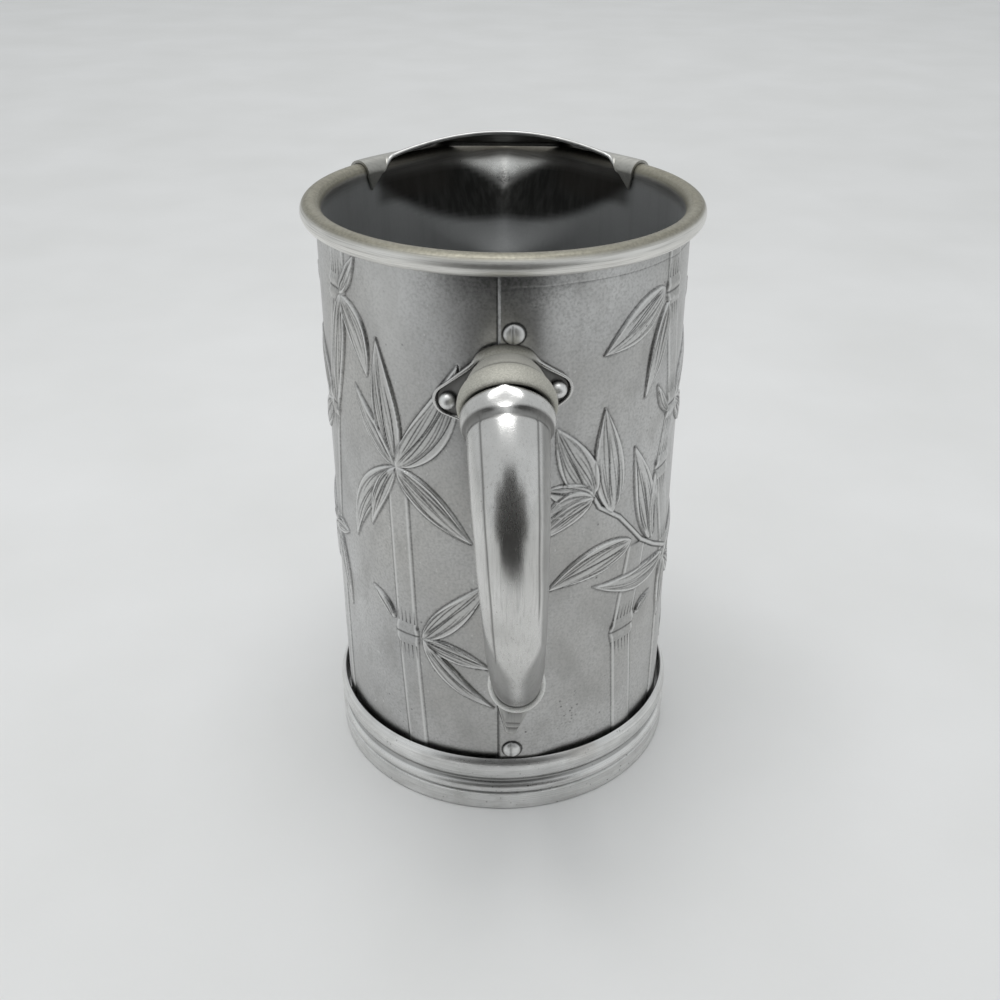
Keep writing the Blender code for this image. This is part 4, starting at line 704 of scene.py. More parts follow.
def add_leaf(field, angle, height, foot, leaf, veins, vein_width):
    """A leaf along a bent midrib: half width w(u) = W sin(pi u^0.75), crowned, with a raised border.

    Each vein is its place across, from -1 to 1, its start and end along the leaf, and its depth.
    """
    across, up, half_mm, bend = leaf
    length = math.hypot(across, up) * MM
    way = np.array((across, up)) * MM / length
    x, y = away(angle, foot[0]), height - foot[1] * MM
    u = (x * way[0] + y * way[1]) / length
    on = (u > 0) & (u < 1)
    u = np.clip(u, 0, 1)
    offset = y * way[0] - x * way[1] - 4 * bend * MM * u * (1 - u)
    width = (half_mm * MM + LEAF_SPREAD) * np.sin(math.pi * u**0.75) ** 0.9 + 1e-6
    v = offset / width
    inside = width - np.abs(offset)
    cover = np.where(on, smoothstep(inside / LEAF_EDGE + 0.35), 0)
    shape = LEAF_RAISE + LEAF_CROWN * np.clip(1 - np.abs(v) ** 1.4, 0, 1)
    shape += BORDER_RAISE * line(inside - 0.6 * MM, 0.45 * MM)
    shape *= 0.4 + 0.6 * smoothstep((1 - u) / 0.4) * smoothstep(u / 0.12)
    dark = np.zeros_like(height)
    for place, start, end, depth in veins:
        wander = place + 0.09 * np.sin(5 * u + 9 * place)
        vein = depth * line(offset - width * wander, vein_width)
        vein *= smoothstep((u - start) / 0.08) * (1 - smoothstep((u - end) / 0.25))
        dark = np.maximum(dark, vein)
    shape -= VEIN_DEPTH * dark
    edge = np.where(on, line(inside + 0.1 * MM, LINE_WIDTH), 0)
    under = field["height"]
    field["height"] = under * (1 - cover) + (shape + 0.35 * under) * cover - OUTLINE_DEPTH * edge
    halo = np.where(on & (inside < 0), 0.34 * line(inside, HALO_WIDTH), 0)
    dark = np.maximum(0.9 * dark * cover, np.maximum(0.5 * edge, halo))
    field["patina_and_painted_shade"] = np.maximum(field["patina_and_painted_shade"] * (1 - cover), dark)
    rub_and_sheen = line(inside - 0.55 * MM, 0.4 * MM) + 0.5 * (dark < 0.1)
    field["rub_and_sheen"] = field["rub_and_sheen"] * (1 - cover) + rub_and_sheen * cover


leaves = []
for foot_place, spray in SPRAYS:
    for leaf in spray:
        far = FAR_SIDE[0] < foot_place[0] < FAR_SIDE[1]
        count = 3 + int(round(leaf[2] * VEIN_COUNTS[far]))
        places = relief_rng.choice((-1, 1)) * np.linspace(-0.84, 0.62, count)
        places = places + relief_rng.uniform(-0.06, 0.06, count)
        starts = relief_rng.uniform(0.0, 0.12, count)
        ends = relief_rng.uniform(0.28, 0.86, count)
        depths = relief_rng.uniform(0.5, 1.0, count)
        leaves.append((foot_place, leaf, list(zip(places, starts, ends, depths)), VEIN_WIDTHS[far]))


def pressed(angle, height):
    """The relief over the body: how far the sheet stands out, and how dark its tarnish is."""
    field = {key: np.zeros_like(height) for key in ("height", "patina_and_painted_shade", "rub_and_sheen")}
    for stalk in STALKS:
        add_stalk(field, angle, height, *stalk)
    for twig in TWIGS:
        add_twig(field, angle, height, *twig)
    for leaf in leaves:
        add_leaf(field, angle, height, *leaf)
    return field


def crevice(distance):
    """Darker close along an edge."""
    return CREVICE_DARK * line(distance - 0.2 * MM, 0.4 * MM)


def strip_faces(front, back):
    """Faces from the numbers of a strip's points: its front, its coarser back, and sides that join them."""
    faces = []
    for number, turned_round in ((front, False), (back, True)):
        quads = np.stack((number[:-1, :-1], number[:-1, 1:], number[1:, 1:], number[1:, :-1]), axis=-1)
        quads = quads.reshape(-1, 4)
        faces.append(quads[:, ::-1] if turned_round else quads)
    edges = ((front[0], back[0], False), (front[-1], back[-1], True),
             (front[:, 0], back[:, 0], True), (front[:, -1], back[:, -1], False))
    for fine, coarse, turned_round in edges:
        steps = np.arange(len(coarse) - 1)
        run = np.stack([fine[steps * BACK_STRIDE + k] for k in range(BACK_STRIDE + 1)], axis=-1)
        sides = np.concatenate((run[:, ::-1], coarse[:-1, None], coarse[1:, None]), axis=1)
        faces.append(sides[:, ::-1] if turned_round else sides)
    return faces


def jacket_strip(name, start, end, grid, material):
    """One upright strip of the sheet: radius R + lap step + relief, up to the rim or the spout's notch.

    grid is its rows and columns.  The back is a plain sheet with every fourth column and row, joined to
    the front along the edges.
    """
    angle = np.linspace(start, end, grid[1])
    along = (angle - LAP_EDGE) * JACKET_RADIUS
    raised = LAP_STEP * (1 - smoothstep((along - LAP_WIDTH - LAP_STEP) / JOGGLE_WIDTH))
    raised = raised * (0.45 + 0.55 * np.minimum(along / LAP_BEVEL, 1))
    touch = np.clip(from_spout(angle) - NOTCH_MARGIN / JACKET_RADIUS, 0, STEEPEST)
    crease = VESSEL_RADIUS / np.cos(touch) - VESSEL_RADIUS
    notch = SPOUT_FOOT + (RIM_CENTRE - SPOUT_FOOT) * crease / SPOUT_REACH - NOTCH_MARGIN
    top = np.minimum(JACKET_TOP, notch)
    share = np.linspace(0, 1, grid[0])[:, None]
    height = JACKET_BOTTOM + (top - JACKET_BOTTOM) * share
    place = np.broadcast_to(angle, height.shape)
    field = pressed(place, height)
    to_lap = (2 * math.pi + LAP_EDGE - place) * JACKET_RADIUS
    shown = smoothstep(to_lap / (2 * MM))
    ledge = line(height - LEDGE_HEIGHT, 0.3 * MM) * smoothstep(along / (4 * MM)) * (place < FRONT_REACH)
    side = (place + math.pi) % (2 * math.pi) - math.pi
    # Painted shade and reflection under the rim at the front.
    shade = SHADE_DARK * line(JACKET_TOP - height, SHADE_DEPTH) * line(side, SHADE_HALF)
    # How dark each point goes: tarnish in the relief, dark lines along the lap and round the seam rivets,
    # and the painted shade under the rim.
    grime_and_shade = np.maximum(field["patina_and_painted_shade"] * shown, crevice(to_lap))
    for more_grime_and_shade in (LEDGE_DIRT * ledge, BEVEL_DARK * line(along, LAP_BEVEL), shade):
        grime_and_shade = np.maximum(grime_and_shade, more_grime_and_shade)
    for seam_height in SEAM_HEIGHTS:
        off = np.hypot(along - SEAM_INSET, height - seam_height) - SEAM_HEAD[0]
        grime_and_shade = np.maximum(grime_and_shade, crevice(off))
    relief = field["height"] * shown - LEDGE_DEPTH * ledge
    front = around(place, JACKET_RADIUS + raised + relief, height)
    back = around(place, JACKET_RADIUS + raised - JACKET_WALL, height)[::BACK_STRIDE, ::BACK_STRIDE]
    front_number = np.arange(height.size).reshape(height.shape)
    back_number = height.size + np.arange(back.shape[0] * back.shape[1]).reshape(back.shape[:2])
    points = np.concatenate((front.reshape(-1, 3), back.reshape(-1, 3)))
    plain = np.zeros(back.shape[0] * back.shape[1])
    pitted = line(np.hypot(away(place, PITTED[0]), height - PITTED[1]), PITTED[2])
    # Painted highlight: a bright upright streak high on the body, left of the lap.
    wiped = 0.6 * line(side - PAINTED_STREAK[0], PAINTED_STREAK[1]) * line(JACKET_TOP - height, PAINTED_STREAK[2])
    marks = {"patina_and_painted_shade": grime_and_shade, "rub_and_sheen": np.maximum(field["rub_and_sheen"] * shown, wiped), "pitted": pitted}
    marks = {key: np.concatenate((value.ravel(), plain)) for key, value in marks.items()}
    piece = body(name, points, strip_faces(front_number, back_number), marks)
    put_on(piece, "jacket", material)


def pressed_aluminium():
    """Pressed sheet aluminium: rubbed grey satin with dark cut lines, scratches, pits and soft clouds, a
    painted highlight streak, and painted shade under the rim.
    """
    metal = Finish("pressed_aluminium")
    cloud = metal.noise(17, 5)
    grain = metal.noise(1100, 3)
    fine = metal.noise(3200, 2)
    wiped = metal.noise(1, 4, stretch=(30, 30, 900))
    scratch = metal.noise(1, 2, stretch=(900, 60, 420), turn=(0.3, 0.9, 0.5))
    pits = metal.pits(230, (0.05, 0.13), (45, 2), (0.54, 0.64))
    specks = metal.pits(620, (0.16, 0.34), (190, 3), (0.50, 0.56))
    pits = metal.work("MAXIMUM", pits, metal.times(specks, metal.mark("pitted")))
    dark = metal.mark("patina_and_painted_shade")
    blush = metal.span(metal.noise(12, 4, turn=(0.7, 0.2, 0.4)), 0.48, 0.66)
    smudge = metal.noise(95, 5, stretch=(1, 1, 0.6))
    colour = metal.mix(metal.span(cloud, 0.34, 0.66), (0.45, 0.45, 0.45), (0.66, 0.66, 0.655))
    colour = metal.mix(metal.times(blush, 0.45), colour, (0.43, 0.415, 0.385))
    colour = metal.tint(colour, smudge, (0.50, 0.72, 0.45), (0.33, 0.325, 0.315))
    colour = metal.tint(colour, grain, (0.42, 0.72, 0.5), (0.31, 0.31, 0.305))
    # Lighter where the relief is worn, and on the painted highlight streak.
    colour = metal.tint(colour, metal.mark("rub_and_sheen"), (0.1, 1.2, 0.75), (0.82, 0.82, 0.81))
    colour = metal.tint(colour, scratch, (0.68, 0.78, 0.35), (0.85, 0.85, 0.84))
    colour = metal.mix(metal.times(pits, 0.7), colour, (0.10, 0.10, 0.10))
    # worn: how far the colour goes dark, from tarnish in the relief, the dark lines, and the painted shade
    # under the rim.
    worn = metal.span(metal.plus(dark, metal.times(grain, 0.3)), 0.30, 1.0, 0.0, 0.92)
    colour = metal.mix(worn, colour, (0.035, 0.035, 0.035))
    rough = metal.span(metal.plus(metal.plus(cloud, fine), dark), 0.6, 1.8, 0.25, 0.50)
    normal = metal.relief(wiped, 0.00002)
    normal = metal.relief(metal.plus(grain, fine), 0.000016, normal)
    normal = metal.relief(metal.work("SUBTRACT", 1.0, pits), 0.00008, normal)
    return metal.finish(colour, rough, normal)


pressed_finish = pressed_aluminium()
lap_end = LAP_EDGE + 2 * math.pi + LAP_WIDTH / JACKET_RADIUS
left_start = 2 * math.pi - FRONT_REACH
strip_edges = np.concatenate((
    np.linspace(LAP_EDGE, FRONT_REACH, 4), np.linspace(FRONT_REACH, left_start, 5)[1:],
    np.linspace(left_start, lap_end, 4)[1:],
))
for number, (strip_start, strip_end) in enumerate(zip(strip_edges, strip_edges[1:])):
    far = strip_start >= FRONT_REACH and strip_end <= left_start
    grid = FAR_GRID if far else FRONT_GRID
    jacket_strip(f"jacket_strip_{number + 1}", strip_start, strip_end, grid, pressed_finish)


# Ice guard
# A visor of thin sheet in front of the spout that holds the ice back.  It arches over the opening, and
# its two ends are folded round the rim's bead and tucked down inside as pointed tabs.
SEAT_GAP = 0.3 * MM
GUARD_WALL = 0.9 * MM
GUARD_ENDS = np.radians((54.5, 51))
GUARD_CROSSING_HALF = 23.5 * MM
GUARD_CROSSING_RISE = 1.2 * MM
GUARD_RISE_LEAD = 2.4 * MM
GUARD_RISE_RUN = 11.8 * MM
GUARD_ARCH_RISE = 6.6 * MM
GUARD_ARCH_FRONT = 54.0 * MM
GUARD_TAB_WIDTH = 4.6 * MM
GUARD_TAB_DEPTH = 5.0 * MM
GUARD_TAB_POINT = 0.8
GUARD_HEM = 0.7 * MM
GUARD_TURNS = np.radians((12, 90))
GUARD_CLIP_TURNS = np.radians((18, 175))
GUARD_SEAT_ROWS = 12
GUARD_VISOR_ROWS = 16
EDGE_ROWS = 5


def sheet_between(name, face, wall):
    """A closed sheet from one face: the other lies a wall's thickness off, square to the first.

    The last row's edge is a half round between the two faces.
    """
    normal = np.cross(np.gradient(face, axis=0), np.gradient(face, axis=1))
    normal /= np.maximum(np.linalg.norm(normal, axis=-1, keepdims=True), 1e-12)
    middle = face.shape[0] // 2, face.shape[1] // 2
    other = face + wall * np.sign(normal[middle][2]) * normal
    across = (face[-1] - other[-1]) / 2
    beyond = face[-1] - face[-2]
    beyond *= np.linalg.norm(across, axis=-1, keepdims=True) / np.linalg.norm(beyond, axis=-1, keepdims=True)
    turn = np.linspace(0, math.pi, EDGE_ROWS + 2)[1:-1, None, None]
    edge = other[-1] + across + across * np.cos(turn) + beyond * np.sin(turn)
    loop = np.concatenate((face, edge, other[::-1])).swapaxes(0, 1)
    # Painted shade: the lower face, under the guard, is darkened; the last row of that face, at the edge,
    # half as much.
    painted_shade = np.zeros(loop.shape[1])
    painted_shade[:len(face)] = 0.8
    painted_shade[len(face) - 1] = 0.4
    worn = np.zeros(loop.shape[:2])
    worn[:, len(face):len(face) + EDGE_ROWS + 2] = (wall[-1] - wall.min()) / (wall.max() - wall.min())
    return skin(name, loop, marks={"patina_and_painted_shade": np.broadcast_to(painted_shade, loop.shape[:2]),
                                   "worn": worn})


def guard_face():
    """The guard's lower face: rows from end to end, over the bead, then on to the arch and the tabs."""
    path_angle = math.pi + np.linspace(0, GUARD_ENDS.max(), 240)
    path_roll = rim_roll(path_angle)
    path = wall_plan(path_angle, RIM_CENTRE) + plan_normal(path_angle) * path_roll[:, None]
    path_x = -path[:, 0]
    ends = np.interp(math.pi + GUARD_ENDS, path_angle, path_x)
    left, right = [np.concatenate((
        np.linspace(0, end - 2 * GUARD_TAB_WIDTH, 49),
        np.linspace(end - 2 * GUARD_TAB_WIDTH, end - GUARD_TAB_WIDTH, 13)[1:],
        np.linspace(end - GUARD_TAB_WIDTH, end, 21)[1:],
    )) for end in ends]
    across = np.concatenate((-left[:0:-1], right))
    side = np.abs(across)
    tab_start = np.where(across < 0, ends[0], ends[1]) - GUARD_TAB_WIDTH
    clip_start = tab_start - GUARD_TAB_WIDTH
    on_rim = np.maximum(side, GUARD_CROSSING_HALF)
    roll = np.interp(on_rim, path_x, path_roll)
    out = plan_normal(np.interp(on_rim, path_x, path_angle))
    out[:, 0] = -out[:, 0] * np.sign(across) * smoothstep(side / GUARD_CROSSING_HALF)
    out[:, 1] = np.sqrt(1 - out[:, 0] ** 2)
    bead = np.stack((across, np.interp(on_rim, path_x, path[:, 1])), axis=-1)
    clip = smoothstep((side - clip_start) / (tab_start - clip_start))
    first_turn = GUARD_TURNS[0] + (GUARD_CLIP_TURNS[0] - GUARD_TURNS[0]) * clip
    last_turn = GUARD_TURNS[1] + (GUARD_CLIP_TURNS[1] - GUARD_TURNS[1]) * clip
    clear = roll + SEAT_GAP
    past = side - GUARD_CROSSING_HALF + GUARD_RISE_LEAD
    raised = GUARD_CROSSING_RISE * (1 - smoothstep(past / GUARD_RISE_RUN))
    share = np.linspace(0, 1, GUARD_SEAT_ROWS)[:, None]
    turn = first_turn + (last_turn - first_turn) * share
    plan = bead + out * (clear * np.cos(turn))[..., None]
    seat = lift(plan, RIM_TOP - roll + raised + clear * np.sin(turn))
    arch = np.clip(1 - (side / clip_start) ** 2, 0, 1)
    on_tab = np.clip((side - tab_start) / GUARD_TAB_WIDTH, 0, 1)
    tab = np.minimum(on_tab / GUARD_TAB_POINT, (1 - on_tab) / (1 - GUARD_TAB_POINT))
    edge = bead - out * clear[:, None]
    corners = edge[[np.argmin(np.abs(across - place)) for place in (-clip_start[0], clip_start[-1])]]
    corner = np.where((across < 0)[:, None], corners[:1], corners[1:])
    outward = np.minimum(side / clip_start, 1)
    front = GUARD_ARCH_FRONT + (corner[:, 1] - GUARD_ARCH_FRONT) * outward**2
    arch_plan = np.stack((corner[:, 0] * outward, front), axis=-1)
    inner_plan = np.where((side > clip_start)[:, None], edge, arch_plan)
    arch_height = RIM_TOP + SEAT_GAP + GUARD_ARCH_RISE * arch
    tab_height = RIM_CENTRE - SEAT_GAP - GUARD_TAB_DEPTH * tab
    inner = lift(inner_plan, arch_height + (tab_height - arch_height) * clip)
    share = np.linspace(0, 1, GUARD_VISOR_ROWS)[1:, None, None]
    face = np.concatenate((seat, seat[-1] + (inner - seat[-1]) * share))
    hem = np.zeros((*face.shape[:2], 1))
    hem[-3:, :, 0] = 1 - clip
    return face, GUARD_WALL + GUARD_HEM * hem


def guard_sheet():
    """Plain sheet aluminium: wiped along the visor, dull, with a few dark specks, and painted shade on its
    underside.
    """
    metal = Finish("guard_aluminium")
    wiped = metal.noise(1, 4, stretch=(60, 900, 900))
    cloud = metal.noise(40, 4)
    specks = metal.pits(420, (0.06, 0.14), (90, 2), (0.54, 0.62))
    colour = metal.cloudy(cloud, (0.36, 0.355, 0.33), (0.52, 0.515, 0.48))
    colour = metal.tint(colour, wiped, (0.5, 0.8, 0.5), (0.25, 0.245, 0.23))
    colour = metal.mix(metal.mark("worn"), colour, (0.50, 0.50, 0.49))
    colour = metal.mix(metal.times(specks, 0.8), colour, (0.08, 0.08, 0.08))
    # The dark mark here is painted shade on the underside.
    colour = metal.mix(metal.mark("patina_and_painted_shade"), colour, (0.03, 0.03, 0.028))
    rough = metal.span(wiped, 0.3, 0.7, 0.34, 0.50)
    return metal.finish(colour, rough, metal.relief(wiped, 0.00003))


guard = sheet_between("ice_guard_visor", *guard_face())
put_on(guard, "ice_guard", guard_sheet())


# Handle upper socket
# A cast bell on the body that the grip stands in.  It rises from the wall and bends over to a thick lip;
# its flange has two ears, each with a raised border round a dark hollow, and a rivet through it.
HANDLE_ANGLE = math.radians(0.8)
HANDLE_LEAN = math.radians(1.9)
HANDLE_TOP = RIM_TOP - 43.3 * MM
ELBOW_START = math.radians(33)
ELBOW_END = math.radians(-29)
SOCKET_BACK = FOOT_THROAT
FLANGE_THICKNESS = 1.6 * MM
FLANGE_RADIUS = 13.8 * MM
FLARE_REACH = (12.8 * MM, 15.4 * MM)
FLARE_RISE = 2.6 * MM
EAR_RADIUS = 5.0 * MM
EARS = ((-18.1 * MM, -3.1 * MM), (15.6 * MM, -0.3 * MM))
EAR_BORDER = 1.1 * MM
EAR_HOLLOW = 0.9 * MM
UPPER_LIP = 16.7 * MM
UPPER_LIP_RADIUS = 15.0 * MM
UPPER_LIP_WIDTH = 4.2 * MM
UPPER_NECK_RADIUS = 13.8 * MM
UPPER_NECK_LENGTH = 5.0 * MM
UPPER_THROAT_RADIUS = 12.6 * MM
UPPER_FOOT_RADIUS = 12.4 * MM
SPIGOT_TOP = 11.4 * MM
SPIGOT_LENGTH = 6.0 * MM
SOCKET_COLUMNS = 144


def leaned(side, height):
    """The handle's lean about the upper socket, for a point sideways and up."""
    rise = np.asarray(height, dtype=float) - HANDLE_TOP
    across = side * math.cos(HANDLE_LEAN) - rise * math.sin(HANDLE_LEAN)
    return across, HANDLE_TOP + side * math.sin(HANDLE_LEAN) + rise * math.cos(HANDLE_LEAN)


def on_handle(side, outward, height):
    """A point from the handle's own frame: sideways, outwards from the axis, and up."""
    across, up = leaned(side, height)
    x = across * math.cos(HANDLE_ANGLE) + outward * math.sin(HANDLE_ANGLE)
    y = across * math.sin(HANDLE_ANGLE) - outward * math.cos(HANDLE_ANGLE)
    return np.stack(np.broadcast_arrays(x, y + AXIS_Y, up), axis=-1)


def body_place(side, height):
    """The angle and height on the round body of a point sideways and up in the handle's frame."""
    across, up = leaned(side, height)
    return HANDLE_ANGLE + across / SOCKET_BACK, up


def upper_line(distance):
    """A point on the bell's centre line, as (outward, up), and its direction, which turns evenly down."""
    bend = (ELBOW_END - ELBOW_START) / UPPER_LIP
    turn = ELBOW_START + bend * distance
    outward = SOCKET_BACK + (math.sin(turn) - math.sin(ELBOW_START)) / bend
    up = HANDLE_TOP + (math.cos(ELBOW_START) - math.cos(turn)) / bend
    return np.array((outward, up)), np.array((math.cos(turn), math.sin(turn)))


def handle_ring(place, way, radius, columns):
    """A ring of the handle square to its centre line; place and radius may differ round the ring."""
    turn = np.linspace(0, 2 * math.pi, columns, endpoint=False)
    rise = radius * np.sin(turn)
    return on_handle(radius * np.cos(turn), place[0] - rise * way[1], place[1] + rise * way[0])


def tapered_outline(turn, big, small, spacing):
    """Distance to the outline of a big disc joined by straight sides to a small one beside it."""
    lean = math.acos(max(-1.0, min(1.0, (big - small) / spacing)))
    end = math.atan2(small * math.sin(lean), spacing + small * math.cos(lean))
    off = np.abs((turn + math.pi) % (2 * math.pi) - math.pi)
    tip = spacing * np.cos(off) + np.sqrt(np.maximum(small**2 - (spacing * np.sin(off)) ** 2, 0))
    straight = big / np.cos(np.minimum(np.abs(off - lean), STEEPEST))
    return np.where(off > lean, big, np.where(off > end, straight, tip))


def flange_row(base, turn, reach, radius):
    """A ring of a flange on the round body: an outline of reaches at a distance from the axis."""
    angle, height = body_place(reach * np.cos(turn), base + reach * np.sin(turn))
    return around(angle, radius, height)


def socket_bell(lip, lip_width, lip_radius, neck, throat, bore, line_at, stained):
    """Rings and marks from a socket's throat over its half-round lip and down its bore.

    neck is (length, radius); each ring comes with how dark and how stained it is.
    """
    rings = []
    for share in np.linspace(0, 1, 6)[:-1]:
        swell = throat + (neck[1] - throat) * smoothstep(share)
        rings.append((lip - lip_width - neck[0] * (1 - share), swell, 0.1, 0.85 * stained))
    for turn in np.linspace(math.pi, 0, 17):
        swell = (lip_radius - neck[1]) * math.sin(turn) ** 0.7
        seam = 0.75 * max(0.0, -math.cos(turn)) ** 12
        rings.append((lip - lip_width / 2 * (1 - math.cos(turn)), neck[1] + swell, seam, stained))
    rings.append((lip - 0.3 * MM, bore + 0.9 * MM, 0.5, 0.0))
    rings += [(lip - 0.7 * MM, bore, 0.95, 0.0), (lip - SPIGOT_LENGTH - SEAT_GAP, bore, 1.0, 0.0)]
    return [(handle_ring(*line_at(distance), radius, SOCKET_COLUMNS), dark, stain)
            for distance, radius, dark, stain in rings]


def polished_aluminium(name, dull_dark, dull_light):
    """Aluminium polished by hands: bright, with fine scratches, brown pits, grime in the corners and painted
    reflections on the grip's flanks.

    Where it is stained it is dull, between the two colours given.
    """
    metal = Finish(name)
    cloud = metal.noise(55, 4)
    scratch = metal.noise(1, 3, stretch=(1500, 1500, 60), turn=(0.1, 0.06, 0))
    grain = metal.noise(2300, 2)
    pits = metal.pits(600, (0.05, 0.16), (70, 3), (0.52, 0.62))
    dark = metal.mark("patina_and_painted_shade")
    stain = metal.mark("stain")
    colour = metal.cloudy(cloud, (0.58, 0.575, 0.56), (0.75, 0.745, 0.73))
    colour = metal.tint(colour, scratch, (0.52, 0.78, 0.4), (0.38, 0.375, 0.365))
    colour = metal.mix(metal.times(pits, 0.6), colour, (0.16, 0.12, 0.09))
    dull = metal.cloudy(grain, dull_dark, dull_light)
    colour = metal.mix(stain, colour, dull)
    colour = metal.tint(colour, dark, (0.0, 1.0, 0.95), (0.045, 0.043, 0.04))
    rough = metal.span(metal.plus(metal.plus(cloud, scratch), dark), 0.7, 1.9, 0.20, 0.42)
    rough = metal.plus(rough, metal.times(stain, 0.50))
    normal = metal.relief(scratch, 0.00001)
    normal = metal.relief(metal.work("SUBTRACT", grain, pits), 0.000012, normal)
    return metal.finish(colour, rough, normal)


turn = np.linspace(0, 2 * math.pi, SOCKET_COLUMNS, endpoint=False)
ear_reach = np.full(SOCKET_COLUMNS, FLANGE_RADIUS)
for ear_side, ear_rise in EARS:
    spread = math.hypot(ear_side, ear_rise)
    ear = tapered_outline(turn - math.atan2(ear_rise, ear_side), FLANGE_RADIUS, EAR_RADIUS, spread)
    ear_reach = np.maximum(ear_reach, ear)
flange_front = SOCKET_BACK + FLANGE_THICKNESS
inner_reach = np.maximum(ear_reach - EAR_BORDER, UPPER_FOOT_RADIUS + 0.6 * MM)
hollow_reach = np.maximum(inner_reach - 0.5 * MM, UPPER_FOOT_RADIUS + 0.3 * MM)
flange_rows = (
    (ear_reach, SOCKET_BACK, 0.8), (ear_reach, flange_front - 0.4 * MM, 0.0),
    (ear_reach - 0.2 * MM, flange_front - 0.1 * MM, 0.0), (ear_reach - 0.5 * MM, flange_front, 0.0),
    (inner_reach, flange_front - 0.1 * MM, 0.0), (hollow_reach, flange_front - EAR_HOLLOW, 0.9),
    ((hollow_reach + UPPER_FOOT_RADIUS) / 2, flange_front - EAR_HOLLOW, 0.7),
    (np.full(SOCKET_COLUMNS, UPPER_FOOT_RADIUS), flange_front - EAR_HOLLOW, 0.75),
)
flare = smoothstep((np.sin(turn) - 0.60) / 0.33)
rows = [(flange_row(HANDLE_TOP, turn, ear_reach * share, SOCKET_BACK), 0.0, 0.0) for share in (0.3, 0.7)]
for share, (reach, radius, dark) in zip(np.linspace(0, 1, len(flange_rows)), flange_rows):
    flare_reach = FLARE_REACH[0] + (FLARE_REACH[1] - FLARE_REACH[0]) * (1 - share) ** 1.5
    reach = reach + (flare_reach - reach) * flare
    radius = radius + (SOCKET_BACK + FLARE_RISE * share**2 - radius) * flare
    dark = dark + (0.15 + 0.6 * (1 - share) ** 3 - dark) * flare
    rows.append((flange_row(HANDLE_TOP, turn, reach, radius), dark, flare))
rows += socket_bell(UPPER_LIP, UPPER_LIP_WIDTH, UPPER_LIP_RADIUS, (UPPER_NECK_LENGTH, UPPER_NECK_RADIUS),
                    UPPER_THROAT_RADIUS, SPIGOT_TOP + SEAT_GAP, upper_line, 1.0)
polished = polished_aluminium("polished_aluminium", (0.50, 0.49, 0.44), (0.66, 0.65, 0.595))


def handle_skin(name, rows):
    """A closed skin of the handle from rows of (ring, darkness, stain); the darkness is tarnish, with
    painted shade and reflection in places.
    """
    grid = np.stack([ring for ring, _, _ in rows])
    marks = {}
    for key, index in (("patina_and_painted_shade", 1), ("stain", 2)):
        marks[key] = np.stack([np.broadcast_to(row[index], grid.shape[1:2]) for row in rows]).astype(float)
    return skin(name, grid, marks=marks)


put_on(handle_skin("handle_upper_bell", rows), "handle_upper_socket", polished)


# Handle lower socket
# A small cast cup at the foot of the handle, with a rounded lip round the grip's end.  Below it a
# stepped tail runs down the body to a point, and a hidden rivet holds it from inside.
HANDLE_BOTTOM = 57.5 * MM
HANDLE_BOTTOM_RISE = math.radians(40)
TAIL_LENGTH = 20.0 * MM
TAIL_TIP = 2.2 * MM
TAIL_TURN = 0.125
TAIL_STEP = 0.7 * MM
# Tiers of the tail, from the body outwards: share of its outline, and how far down they go.
TAIL_TIERS = ((1.0, 22.0 * MM), (0.93, 18.4 * MM), (0.88, 15.6 * MM))
LOWER_BASE_RADIUS = 8.4 * MM
LOWER_BASE_THICKNESS = 1.0 * MM
LOWER_LIP = 14.5 * MM
LOWER_LIP_RADIUS = 9.9 * MM
LOWER_LIP_WIDTH = 2.8 * MM
LOWER_NECK_RADIUS = 8.5 * MM
LOWER_NECK_LENGTH = 2.6 * MM
LOWER_FOOT_RADIUS = 8.0 * MM
SPIGOT_BOTTOM = 6.6 * MM


def lower_line(distance):
    """A point on the cup's straight centre line, as (outward, up), and its direction."""
    way = np.array((math.cos(HANDLE_BOTTOM_RISE), math.sin(HANDLE_BOTTOM_RISE)))
    return np.array((SOCKET_BACK, HANDLE_BOTTOM)) + way * distance, way


tail_reach = tapered_outline(turn + math.pi / 2 + TAIL_TURN, LOWER_BASE_RADIUS, TAIL_TIP, TAIL_LENGTH)
rows = [(flange_row(HANDLE_BOTTOM, turn, tail_reach * share, SOCKET_BACK), 0.0, 0.0) for share in (0.3, 0.7)]
tier_foot = SOCKET_BACK
downward = np.maximum(-np.sin(turn + TAIL_TURN), 1e-3)
# Painted contact shade: the tail's outline on the body is darkened.
rows.append((flange_row(HANDLE_BOTTOM, turn, tail_reach + 0.6 * MM, SOCKET_BACK), 0.95, 0.0))
# Each tier's face darkens toward the foot of the next step, and the insets grow darker up toward the lip:
# painted shade under the lip.
for number, (share, drop) in enumerate(TAIL_TIERS):
    tier = np.minimum(tail_reach * share, drop / downward)
    step = np.maximum(tier, LOWER_FOOT_RADIUS)
    inset = np.maximum(tier - 0.3 * MM, LOWER_FOOT_RADIUS)
    head = SOCKET_BACK + LOWER_BASE_THICKNESS + TAIL_STEP * number
    for reach, radius, dark in ((step, tier_foot + 0.05 * MM, 0.95), (step, head - 0.2 * MM, 0.3),
                                (inset, head, 0.15 * number)):
        rows.append((flange_row(HANDLE_BOTTOM, turn, reach, radius), dark, 0.1))
    tier_foot = head
